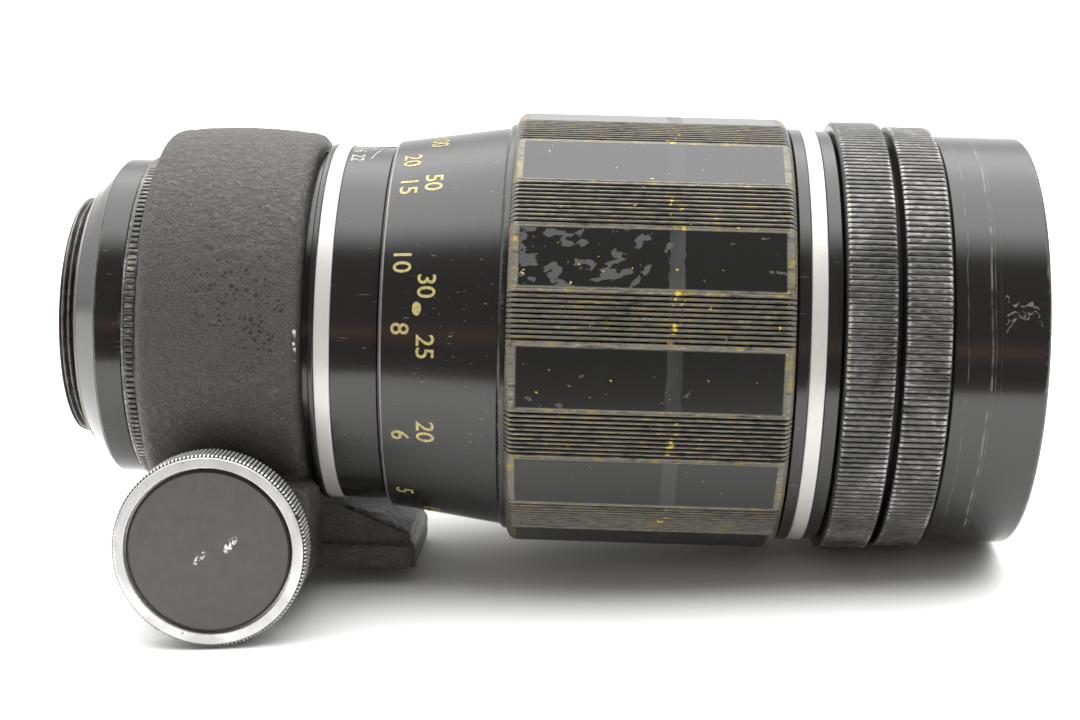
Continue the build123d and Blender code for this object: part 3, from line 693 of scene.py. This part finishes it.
def text_outline(text, height, stroke):
    """Flat text in millimetres, as a bmesh, centred on the origin."""
    words = bpy.data.curves.new("figure", "FONT")
    words.body = text
    words.size = height * 1.37
    words.offset = stroke
    words.extrude = 0.05
    words.resolution_u = 4
    words.align_x = "CENTER"
    holder = bpy.data.objects.new("figure", words)
    bpy.context.scene.collection.objects.link(holder)
    bpy.context.view_layer.update()
    mesh = bpy.data.meshes.new_from_object(holder)
    bpy.data.objects.remove(holder)
    letters = bmesh.new()
    letters.from_mesh(mesh)
    bpy.data.meshes.remove(mesh)
    ups = [v.co.y for v in letters.verts]
    bmesh.ops.translate(letters, vec=(0, -(max(ups) + min(ups)) / 2, 0), verts=letters.verts)
    return letters


def lay_round(shape, x, angle, radius_at, lift=0.015):
    """Bends a flat shape round the axis: its right goes down the near side and its top to the front."""
    low = min(v.co.x for v in shape.verts)
    high = max(v.co.x for v in shape.verts)
    for cut_at in np.arange(low + 0.25, high, 0.5):
        every = shape.verts[:] + shape.edges[:] + shape.faces[:]
        bmesh.ops.bisect_plane(shape, geom=every, plane_co=(cut_at, 0, 0), plane_no=(1, 0, 0))
    bmesh.ops.triangulate(shape, faces=shape.faces)
    points = []
    for v in shape.verts:
        place = x + v.co.y
        r = radius_at(place) + v.co.z - 0.05 + lift
        turn = math.radians(angle) + v.co.x / radius_at(place)
        points.append((place, r * math.cos(turn), r * math.sin(turn)))
    faces = [[v.index for v in face.verts] for face in shape.faces]
    shape.free()
    return points, faces


def engrave(name, shapes, body, finish):
    """Joins several laid shapes into one piece."""
    points, faces = [], []
    for more_points, more_faces in shapes:
        faces += [[i + len(points) for i in face] for face in more_faces]
        points += more_points
    piece = piece_from(name, points, faces)
    piece.data.materials.append(finish)
    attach(piece, body)
    return piece


def cone_radius(x):
    share = (x - cone_x) / (cone_end - cone_x)
    return cone_rear_r + share * (cone_front_r - cone_rear_r)


gold_fill = paint_fill("gold_figures", (0.50, 0.42, 0.17))
silver_fill = paint_fill("silver_figures", (0.45, 0.45, 0.43))
INFINITY_ANGLE = 76.7
TURN_PER_INVERSE_METRE = 781.0
FOOT_IN_METRES = 0.3048
METRE_ROW, FEET_ROW, FIGURE_HEIGHT = cone_x + 3.6, cone_x + 7.8, 3.1


def scale_angle(metres):
    return INFINITY_ANGLE + TURN_PER_INVERSE_METRE / metres


figures = []
for metres in (2.5, 3, 3.5, 4, 5, 6, 8, 10, 15, 20):
    figures.append((f"{metres:g}", METRE_ROW, scale_angle(metres), FIGURE_HEIGHT))
for feet in (9, 10, 12, 15, 20, 25, 30, 50, 100):
    figures.append((str(feet), FEET_ROW, scale_angle(feet * FOOT_IN_METRES), FIGURE_HEIGHT))
figures.append(("∞", cone_x + 5.7, INFINITY_ANGLE, 4.4))
for unit, row in (("m", METRE_ROW), ("ft", FEET_ROW)):
    figures.append((unit, row, INFINITY_ANGLE - 12, FIGURE_HEIGHT))
laid = []
for text, x, angle, height in figures:
    laid.append(lay_round(text_outline(text, height, 0.035), x, angle, cone_radius))
print("laid", len(laid), "distance figures")

# %% [markdown]
# Between the two rows is a small filled oval, and on the depth ring each figure has a slanting line that
# points at the cone. Both are plain outlines, filled and bent the same way as the figures.

# %% Oval, depth figures and their lines
def outline_shape(corners, thick=0.1):
    """A flat filled outline, as a thin solid bmesh."""
    shape = bmesh.new()
    face = shape.faces.new([shape.verts.new((x, y, 0)) for x, y in corners])
    grown = bmesh.ops.extrude_face_region(shape, geom=[face])
    top = [element for element in grown["geom"] if isinstance(element, bmesh.types.BMVert)]
    bmesh.ops.translate(shape, vec=(0, 0, thick), verts=top)
    return shape


def stroke_shape(start, end, width):
    """A straight painted line between two points."""
    way = (Vector(end) - Vector(start)).normalized() * width / 2
    side = Vector((-way.y, way.x))
    return outline_shape([Vector(start) - side, Vector(end) - side, Vector(end) + side, Vector(start) + side])


OVAL_LONG, OVAL_HIGH, OVAL_METRES = 1.15, 0.75, 8.5
round_turn = np.linspace(0, 2 * math.pi, 24, False)
oval = outline_shape([(OVAL_LONG * math.cos(t), OVAL_HIGH * math.sin(t)) for t in round_turn])
laid.append(lay_round(oval, cone_x + 6.3, scale_angle(OVAL_METRES), cone_radius))
engrave("distance_figures", laid, "focus_ring", gold_fill)

depth_x = span("depth_scale_ring")[0]
depth_r = outer("depth_scale_ring")
FIGURE_PER_STOP, MARK_PER_STOP = 31.7 / 22, 16.0 / 22
marks = []
for stop in (4, 8, 11, 16, 22):
    for side in (-1, 1):
        figure_turn, mark_turn = side * stop * FIGURE_PER_STOP, side * stop * MARK_PER_STOP
        if stop > 4:
            figure = text_outline(str(stop), 2.4, 0.015)
            marks.append(lay_round(figure, depth_x + 1.8, INFINITY_ANGLE + figure_turn, lambda x: depth_r))
        far, near = [math.radians(turn) * depth_r for turn in (figure_turn + side, mark_turn)]
        for start, end in (((far, 4.1), (near, 6.2)), ((near, 6.2), (near, 7.4))):
            marks.append(lay_round(stroke_shape(start, end, 0.2), depth_x, INFINITY_ANGLE, lambda x: depth_r))
marks.append(lay_round(stroke_shape((0, 0.6), (0, 7.4), 0.45), depth_x, INFINITY_ANGLE, lambda x: depth_r))
engrave("depth_figures", marks, "rear_barrel", silver_fill)
print("laid", len(marks), "depth marks")

# %% [markdown]
# ## Focusing grip
# Twelve smooth flats are milled along the grip, and the round bands between them are cut with eleven ribs
# each. Both run from end to end, and the chamfers at the ends cut through them. So the cutter takes the
# lowest of three: the chamfered section, the flat's plane, and the rib's groove. The edges of the flats
# and all the crests are where the paint has gone.

# %% Ribs, flats and chamfers
FLATS, RIBS = 12, 11
FIRST_FLAT = 5.1
RIB_DEPTH = 0.52
grip_x, grip_end = span("focus_grip_ring")
grip_r = outer("focus_grip_ring")
flat_r = math.sqrt(grip_r ** 2 - 4.8 ** 2) - 0.07
flat_half = math.degrees(math.acos(flat_r / grip_r))
band = 360 / FLATS - 2 * flat_half
grip_hole, lip_hole = bore("focus_grip_ring", grip_x, grip_x + 1), bore("focus_grip_ring")
lip_x = grip_end - 1.5
flat_steps = flat_half * np.array([-0.995, -0.97, -0.93, -0.88, -0.5, 0, 0.5, 0.88, 0.93, 0.97, 0.995])
one_rib = np.array([0.0, 0.1, 0.22, 0.38, 0.62, 0.78, 0.9])
rib_steps = (np.arange(RIBS)[:, None] + one_rib).ravel() / RIBS * band
one_repeat = np.concatenate([flat_steps, flat_half + rib_steps])
grip_angles = (FIRST_FLAT + np.arange(FLATS)[:, None] * 360 / FLATS + one_repeat).ravel()


def grip_cut(angle, x, r, wear):
    within = (np.degrees(angle) - FIRST_FLAT + flat_half) % (360 / FLATS) - flat_half
    on_flat = np.abs(within) < flat_half
    plane = flat_r / np.cos(np.radians(np.where(on_flat, within, 0)))
    rib = (within - flat_half) / band * RIBS
    deep = np.abs(rib % 1 * 2 - 1) ** 2.2
    beside_flat = (rib < 0.5) | (rib > RIBS - 0.5)
    deep = np.where(beside_flat, np.minimum(deep, 0.2), deep)
    top = np.where(on_flat, plane, grip_r - RIB_DEPTH * deep)
    outside = r > grip_r - 1.3
    from_end = np.minimum(x - grip_x, grip_end - x)
    rim = np.clip((np.abs(within) / flat_half - 0.93) / 0.04, 0, 1)
    frame_end = np.clip((1.9 - from_end) / 0.3, 0, 1)
    tip = np.clip(1.5 - from_end / 1.3, 0, 1)
    rib_wear = np.clip(1.05 - 1.5 * deep, 0, 0.8) + 0.2 * tip * (deep < 0.6)
    new_wear = np.where(on_flat, np.maximum(rim, frame_end), np.where(beside_flat, 1, rib_wear))
    return np.where(outside, np.minimum(r, top), r), np.where(outside, new_wear, 0)


def end_rows(start, way):
    """The section's points from a chamfered end inward, close together where the cutters meet it."""
    rows = [(0.0, 1.2), (0.2, 0.85), (0.45, 0.55), (0.7, 0.32), (1.0, 0.14), (1.35, 0.03),
            (1.65, 0.0), (2.0, 0.0), (2.4, 0.0)]
    return [(start + way * x, grip_r - low, 0, 0) for x, low in rows]


middle_rows = [(x, grip_r, 0, 0) for x in np.linspace(grip_x + 5, grip_end - 5, 9)]
grip_corners = [
    (grip_x, grip_hole, 0, 0), *end_rows(grip_x, 1), *middle_rows, *end_rows(grip_end, -1)[::-1],
    (grip_end, lip_hole, 0, 0), (lip_x, lip_hole, 0, 0), (lip_x, grip_hole, 0, 0)]


# %% [markdown]
# The grip's paint tells its history: grey scuffs on the flats, yellow nicks, a dull band round the middle
# where a cap or strap rubbed, and ribs worn to khaki. Each is a mask of its own over the black.

# %% Paint of the grip
def grip_paint():
    f = Finish("grip_enamel", specular=0.6)
    x, y, z, r = f.along()
    crest = f.wear()
    on_flat = f.ramp(crest, 0.3, 0.05)
    patch = f.grain(0.12, 2.0)
    fine = f.grain(1.5, 4.0, f.stretch(0.3, 1.6, 1.6))
    amount = f.plus(f.times(patch, 0.3), f.times(fine, 0.7))
    worn = f.times(f.ramp(amount, 0.2, 0.55), crest)
    bare = f.ramp(f.times(f.ramp(amount, 0.18, 0.6), f.ramp(crest, 0.3, 1.0)), 0.3, 0.9)
    yellow = f.ramp(f.grain(0.5, 3.0), 0.54, 0.66)
    khaki = f.mix(yellow, (0.150, 0.138, 0.108), (0.235, 0.185, 0.06))
    khaki = f.mix(f.ramp(f.grain(2.4, 3.0, f.stretch(0.4, 1.5, 1.5)), 0.58, 0.75), khaki, (0.36, 0.34, 0.29))
    damaged = f.times(f.ramp(f.math("ABSOLUTE", f.less(z, 15.8)), 6.5, 5.5),
                     f.ramp(y, 0.0, -5.0))
    damaged = f.times(damaged, f.ramp(x, grip_x + 36.0, grip_x + 12.0, 0.0, 1.0))
    blotch = f.ramp(f.plus(f.grain(0.42, 3.0, f.stretch(0.8, 1.2, 1.2)), f.times(damaged, 0.15)),
                    0.69, 0.71)
    strip_edge = f.plus(x, f.ramp(f.grain(0.9, 2.0), 0.3, 0.7, -0.15, 0.15))
    strip_away = f.math("ABSOLUTE", f.less(strip_edge, grip_x + 27.2))
    strip = f.times(f.ramp(strip_away, 1.35, 1.2), f.ramp(f.grain(0.06, 1.0), 0.4, 0.6, 0.2, 0.65))
    scuffs = f.times(f.larger(blotch, strip), on_flat)
    near_strip = f.times(f.ramp(strip_away, 2.2, 0.6, 0.0, 0.12), f.ramp(crest, 0.0, 0.6, 0.3, 1.0))
    nicks = f.ramp(f.plus(f.plus(f.grain(0.9, 2.0), near_strip), f.times(damaged, 0.03)),
                   0.745, 0.77)
    colour = f.mix(worn, (0.011, 0.011, 0.0105), (0.060, 0.055, 0.045))
    colour = f.mix(scuffs, colour, (0.042, 0.042, 0.041))
    colour = f.mix(bare, colour, khaki)
    colour = f.mix(nicks, colour, (0.55, 0.40, 0.04))
    rough = f.blend(scuffs, 0.17, 0.55)
    rough = f.larger(rough, f.blend(worn, 0.17, 0.46))
    lines = f.grain(3.0, 3.0, f.stretch(0.35, 2.0, 2.0))
    height = f.times(lines, f.blend(on_flat, 1.0, 0.1))
    return f.use(colour=colour, metal=f.times(bare, 0.4), rough=rough, normal=f.bump(height, 0.06, 0.6))


grip = spin("ribbed_grip", grip_corners, grip_angles, grip_cut)
stands_for(grip, "focus_grip_ring", finish=grip_paint())
flat_width = 2 * flat_r * math.tan(math.radians(flat_half))
print("flats", FLATS, "of", round(flat_width, 2), "mm, ribs", FLATS * RIBS)

# %% [markdown]
# ## Rings in front of the grip
# A dark ring, a satin ring and a black index ring sit between the grip and the two knurled rings. The knurled
# rings are cut straight, with wide crests and thin dark grooves, and their tooth ends shine.

# %% Front trim and knurled rings
PRESET_TEETH, APERTURE_TEETH = 238, 218
KNURL_DEPTH = 0.36
plain_ring("front_dark_band", "front_dark_ring", gloss_black, 0.1, 0.15, 0.2)
plain_ring("front_bright_ring", "front_satin_ring", satin_silver, 0.1, 0, 0.15)
plain_ring("index_band", "index_ring", gloss_black, 0.1, 0.2, 0.2)


def knurled(name, node, teeth):
    start, end = span(node)
    rim, hole = outer(node), bore(node)
    corners = [
        (start, hole, 0, 0), (start, rim - 0.7, 0.1, 0), (start + 0.45, rim, 0.25, 1.25),
        (start + 1.0, rim, 0, 0.7), ((start + end) / 2, rim, 0, 0.65), (end - 1.0, rim, 0, 0.7),
        (end - 0.45, rim, 0.25, 1.25), (end, rim - 0.7, 0.1, 0), (end, hole, 0, 0)]
    grooves = teeth_cut(teeth, KNURL_DEPTH, rim, 5, crest_wear=0.8)
    piece = spin(name, corners, tooth_angles(teeth), grooves, fade=0.3)
    stands_for(piece, node, finish=tooth_black)
    print(name, "has", teeth, "teeth, pitch", round(2 * math.pi * rim / teeth, 2), "mm")


knurled("preset_knurl", "preset_ring", PRESET_TEETH)
knurled("aperture_knurl", "aperture_ring", APERTURE_TEETH)

# %% [markdown]
# ## Front tube
# The front tube is plain and glossy, which makes every fault show: a few circles scratched by the hood and a
# small white scuff. Its mouth holds the filter thread, cut inward. The sloped ring below has fine steps that
# break up stray light.

# %% Front tube and stepped trim ring
FILTER_PITCH, FILTER_THREAD_DEPTH = 0.75, 0.4
TRIM_STEPS = 9
tube_x, tube_end = span("front_barrel")
tube_r = outer("front_barrel")
tube_hole = bore("front_barrel", tube_x, tube_x)
filter_r = bore("front_barrel", tube_end - 0.6, tube_end)
seat_r = bore("front_barrel")
trim_x, seat_x = span("front_trim_ring")
barrel_x, barrel_r = rings_of("front_barrel")
step_in_x = float(np.round(barrel_x[barrel_r < seat_r + 0.01], 3).min())
filter_points = [(x, filter_r, 0, 0.3) for x in np.arange(tube_end - 0.5, seat_x + 0.4, -0.09)]
tube_corners = [
    (tube_x, tube_hole, 0, 0), (tube_x, tube_r - 0.3, 0.1, 0.4), (tube_x + 0.3, tube_r, 0.15, 0.5),
    (tube_x + 5, tube_r, 0, 0), (tube_x + 10, tube_r, 0, 0),
    (tube_end - 0.5, tube_r, 0.3, 0.7), (tube_end, tube_r - 0.5, 0.2, 0.8),
    (tube_end, filter_r + 0.5, 0.1, 0.8),
    *filter_points, (seat_x + 0.4, filter_r + 0.3, 0, 0), (seat_x, filter_r + 0.3, 0, 0),
    (seat_x, seat_r, 0, 0), (step_in_x, seat_r, 0, 0), (step_in_x, tube_hole, 0, 0)]


def tube_paint():
    """Gloss black with rings scratched round it and one pale forked scratch."""
    f = Finish("front_tube_enamel", specular=0.6)
    x, y, z, r = f.along()
    wobble = f.ramp(f.grain(0.05, 2.0), 0.3, 0.7, -0.4, 0.4)
    rings = 0.0
    for place, width, strength in ((2.1, 0.12, 0.2), (5.9, 0.24, 0.32), (6.5, 0.07, 0.3), (7.4, 0.05, 0.12)):
        away = f.math("ABSOLUTE", f.less(f.plus(x, wobble), tube_x + place))
        rings = f.larger(f.ramp(away, width, 0.3 * width, 0.0, strength), rings)
    rings = f.times(rings, f.ramp(f.grain(0.35, 4.0), 0.35, 0.65))
    shake = f.ramp(f.grain(0.5, 3.0), 0.3, 0.7, -1.1, 1.1)
    forks = 0.0
    for lean, height in ((0.55, 8.6), (0.75, 8.0), (-0.5, 9.6)):
        line = f.less(f.less(z, height), f.times(f.math(
            "SUBTRACT", x, tube_end - 5.0), lean))
        line = f.math("ABSOLUTE", f.plus(line, shake))
        forks = f.larger(f.ramp(line, 0.2, 0.05), forks)
    length = f.ramp(f.math("ABSOLUTE", f.less(x, tube_end - 4.6)), 3.2, 2.6)
    near = f.times(f.ramp(y, -20.0, -21.0), f.ramp(f.math("ABSOLUTE", f.less(z, 8.8)), 4.5, 3.0))
    scuff = f.times(f.times(forks, length), near)
    scuff = f.times(scuff, f.ramp(f.grain(1.4, 3.0), 0.4, 0.55))
    marks = f.larger(rings, f.times(scuff, 0.45))
    dust = f.ramp(f.grain(2.5, 5.0), 0.55, 0.8, 0.0, 0.5)
    edge = f.ramp(f.plus(f.times(f.wear(), 0.4), f.times(f.grain(0.7, 4.0), 0.5)), 0.5, 0.9)
    colour = f.mix(f.times(dust, 0.3), BLACK, (0.04, 0.04, 0.038))
    colour = f.mix(marks, colour, (0.30, 0.29, 0.27))
    colour = f.mix(edge, colour, BARE)
    rough = f.larger(f.blend(dust, 0.16, 0.27), f.times(marks, 0.5))
    return f.use(colour=colour, metal=f.times(edge, 0.5), rough=rough,
                 normal=f.bump(f.grain(9.0, 2.0, f.turned_place(3.0)), 0.004, 0.5))


filter_cut = thread_cut(
    FILTER_PITCH, FILTER_THREAD_DEPTH, seat_x + 0.45, tube_end - 0.5, filter_r, inward=True)
front_tube = spin("front_tube", tube_corners, cut=filter_cut, fade=0.2)
stands_for(front_tube, "front_barrel", finish=tube_paint())

trim_rings = rings_of("front_trim_ring")
trim_outer, trim_inner = float(trim_rings[1].max()), float(trim_rings[1].min())
slope = []
for k in range(TRIM_STEPS):
    x = trim_x + 0.5 + (seat_x - trim_x - 0.5) * k / TRIM_STEPS
    r = trim_inner + (trim_outer - 0.6 - trim_inner) * k / TRIM_STEPS
    next_r = trim_inner + (trim_outer - 0.6 - trim_inner) * (k + 1) / TRIM_STEPS
    slope += [(x, r, 0.03, 0.2), (x, next_r - 0.02, 0.03, 0.2)]
trim_corners = [
    (trim_x, trim_inner, 0, 0), *slope, (seat_x, trim_outer - 0.6, 0.05, 0.2), (seat_x, trim_outer, 0, 0),
    (trim_x, trim_outer, 0, 0)]
stands_for(spin("stepped_trim_ring", trim_corners, fade=0.05), "front_trim_ring", finish=inside_black)
print("filter thread radius", round(filter_r, 2))

# %% [markdown]
# ## What stays as it is
# Inside the lens the plain turned forms are right already: cells, glasses, iris leaves, the brass nut. They
# keep their frame nodes and get a finish each, by the slot that they belong to.

# %% Finish the remaining nodes
finish_of_slot = {
    "satin_aluminium": satin_silver, "anodised_black": inside_black, "coated_glass": lens_glass,
    "steel": turned_steel, "brass": turned_brass, "blade_steel": blued_steel}
kept = [node for node in frame["nodes"] if not frame["nodes"][node].hide_render]
for node in kept:
    mesh = frame["nodes"][node].data
    mesh.materials.clear()
    mesh.materials.append(gloss_black if node == "main_tube" else finish_of_slot[slot_of[node]])
print("kept", len(kept), "nodes of the frame")

# %% [markdown]
# ## Table, light and camera
# The lens lies on a white table that it touches with its foot, its knob and its front rings, so the table
# is a little tilted in the lens's own frame. A wide soft lamp overhead makes the broad grey band on the
# gloss black. The room in front is dark, and that gives the black band. The wall behind is white. A dark
# screen that only reflections see stands on the table in front.

# %% Table
TABLE_HEIGHT, TABLE_RISE_X, TABLE_RISE_Y = -47.55, 0.0688, 0.104
SCREEN_EDGE, SCREEN_LIFT = -150.0, 0.4


def flat_sheet(name, corners):
    """One sheet on the table's plane, from (x, y) corners in millimetres."""
    mesh = bpy.data.meshes.new(name)
    points = [(x * MM, y * MM, (TABLE_HEIGHT + TABLE_RISE_X * x + TABLE_RISE_Y * y + lift) * MM)
              for x, y, lift in corners]
    mesh.from_pydata(points, [], [list(range(len(points)))])
    piece = bpy.data.objects.new(name, mesh)
    bpy.context.scene.collection.objects.link(piece)
    return piece


reach = 6000
table = flat_sheet("table", [(-reach, -reach, 0), (reach, -reach, 0), (reach, reach, 0), (-reach, reach, 0)])
white = Finish("table_white", roughness=0.7, specular=0.2)
table.data.materials.append(white.use(colour=white.mix(
    white.ramp(white.grain(0.02, 3.0), 0.3, 0.7), (0.89, 0.89, 0.88), (0.92, 0.92, 0.915))))

screen = flat_sheet("dark_screen", [
    (-reach, SCREEN_EDGE, SCREEN_LIFT), (-reach, -reach, SCREEN_LIFT),
    (reach, -reach, SCREEN_LIFT), (reach, SCREEN_EDGE, SCREEN_LIFT)])
dark = Finish("dark_cloth", roughness=0.9, specular=0.0)
x, y, z, r = dark.along()
screen.data.materials.append(dark.use(colour=dark.mix(
    dark.ramp(y, SCREEN_EDGE, SCREEN_EDGE - 110.0), (0.06, 0.05, 0.045), (0.02, 0.02, 0.02))))
screen.visible_camera = False
screen.visible_diffuse = False
screen.visible_shadow = False
screen.visible_transmission = False
print("table height under the mount", TABLE_HEIGHT, "mm")

# %% [markdown]
# The surroundings are the main light. A wide soft box runs overhead, brightest just over the lens and
# fading at its edges, and the wall behind has less than a third of its light. The side where the camera
# stands is dark but for a dim warm line low down. Two weak lamps fill the shadows, and reflections don't
# see them. Seen straight on, the surroundings are plain white from every side.

# %% Surroundings and fill lamps
BOX_LIGHT, WALL_LIGHT, FRONT_LIGHT = 2.9, 1.2, 0.07
WARM_BAND = (0.6, 0.3, 0.16)
world = bpy.data.worlds.new("studio")
bpy.context.scene.world = world
world.use_nodes = True
tree = world.node_tree
tree.nodes.clear()


def sky(kind, inputs=None, **settings):
    """Adds one node to the surroundings and returns its first output."""
    node = tree.nodes.new(kind)
    for key, value in settings.items():
        setattr(node, key, value)
    for key, value in (inputs or {}).items():
        if isinstance(value, bpy.types.NodeSocket):
            tree.links.new(value, node.inputs[key])
        else:
            node.inputs[key].default_value = value
    return node.outputs[0]


def sky_step(value, low, high, start=0.0, end=1.0):
    return sky("ShaderNodeMapRange", {"Value": value, "From Min": low, "From Max": high, "To Min": start,
                                      "To Max": end}, interpolation_type="SMOOTHSTEP")


def times(a, b, operation="MULTIPLY"):
    return sky("ShaderNodeMath", {0: a, 1: b}, operation=operation)


way = tree.nodes.new("ShaderNodeTexCoord").outputs["Generated"]
apart = tree.nodes.new("ShaderNodeSeparateXYZ")
tree.links.new(way, apart.inputs[0])
way_x, way_y, way_z = apart.outputs
rise = times(way_z, times(way_y, -1.0), "ARCTAN2")
overhead = sky_step(rise, math.radians(48), math.radians(73))
before_wall = sky_step(rise, math.radians(118), math.radians(150), 1.0, 0.0)
middle = sky_step(sky("ShaderNodeMath", {0: way_x}, operation="ABSOLUTE"), 0.45, 0.9, 1.0, 0.0)
box_light = times(times(before_wall, middle), BOX_LIGHT)
bright = times(overhead, times(box_light, WALL_LIGHT, "ADD"))
below_top = sky_step(rise, math.radians(6), math.radians(1))
above_foot = sky_step(rise, math.radians(-4), math.radians(0))
warm = times(below_top, above_foot)
dim = {i: times(times(warm, share), FRONT_LIGHT, "ADD") for i, share in enumerate(WARM_BAND)}
colour = sky("ShaderNodeCombineXYZ", dim)
grey = sky("ShaderNodeCombineXYZ", {0: bright, 1: bright, 2: bright})
total = sky("ShaderNodeVectorMath", {0: colour, 1: grey}, operation="ADD")
seen = tree.nodes.new("ShaderNodeLightPath").outputs["Is Camera Ray"]
plain = sky("ShaderNodeCombineXYZ", {0: seen, 1: seen, 2: seen})
total = sky("ShaderNodeVectorMath", {0: total, 1: plain}, operation="MAXIMUM")
out = tree.nodes.new("ShaderNodeOutputWorld")
tree.links.new(sky("ShaderNodeBackground", {"Color": total}), out.inputs["Surface"])

for name, energy, angle, tilt in (("front_fill", 0.6, 90, 52), ("top_fill", 1.6, 70, 0)):
    lamp_data = bpy.data.lights.new(name, "SUN")
    lamp_data.energy = energy
    lamp_data.angle = math.radians(angle)
    lamp = bpy.data.objects.new(name, lamp_data)
    lamp.rotation_euler = (math.radians(tilt), 0, 0)
    lamp.visible_glossy = False
    bpy.context.scene.collection.objects.link(lamp)
bpy.context.scene.view_settings.view_transform = "Standard"
print("soft box", BOX_LIGHT + WALL_LIGHT, "wall", WALL_LIGHT)

# %% [markdown]
# The camera looks at the knob's side from a little above, with a long lens, and is turned slightly so that
# the barrel leans as it does when its front rings rest on the table.

# %% Camera
CAMERA_PLACE = (0.0876, -0.3405, 0.04351)
CAMERA_LENS = 63.83
camera_data = bpy.data.cameras.new("camera")
camera_data.sensor_width = 36.0
camera_data.lens = CAMERA_LENS
camera_data.clip_start, camera_data.clip_end = 0.01, 50.0
camera = bpy.data.objects.new("camera", camera_data)
bpy.context.scene.collection.objects.link(camera)
right = Vector((0.99918745, 0.03143495, 0.02522482)).normalized()
up = Vector((-0.02947238, 0.1429542, 0.98929039))
up = (up - right * up.dot(right)).normalized()
turned = Matrix((right, up, right.cross(up))).transposed().to_4x4()
camera.matrix_world = Matrix.Translation(CAMERA_PLACE) @ turned
bpy.context.scene.camera = camera
print("camera at", [round(c, 4) for c in camera.location])
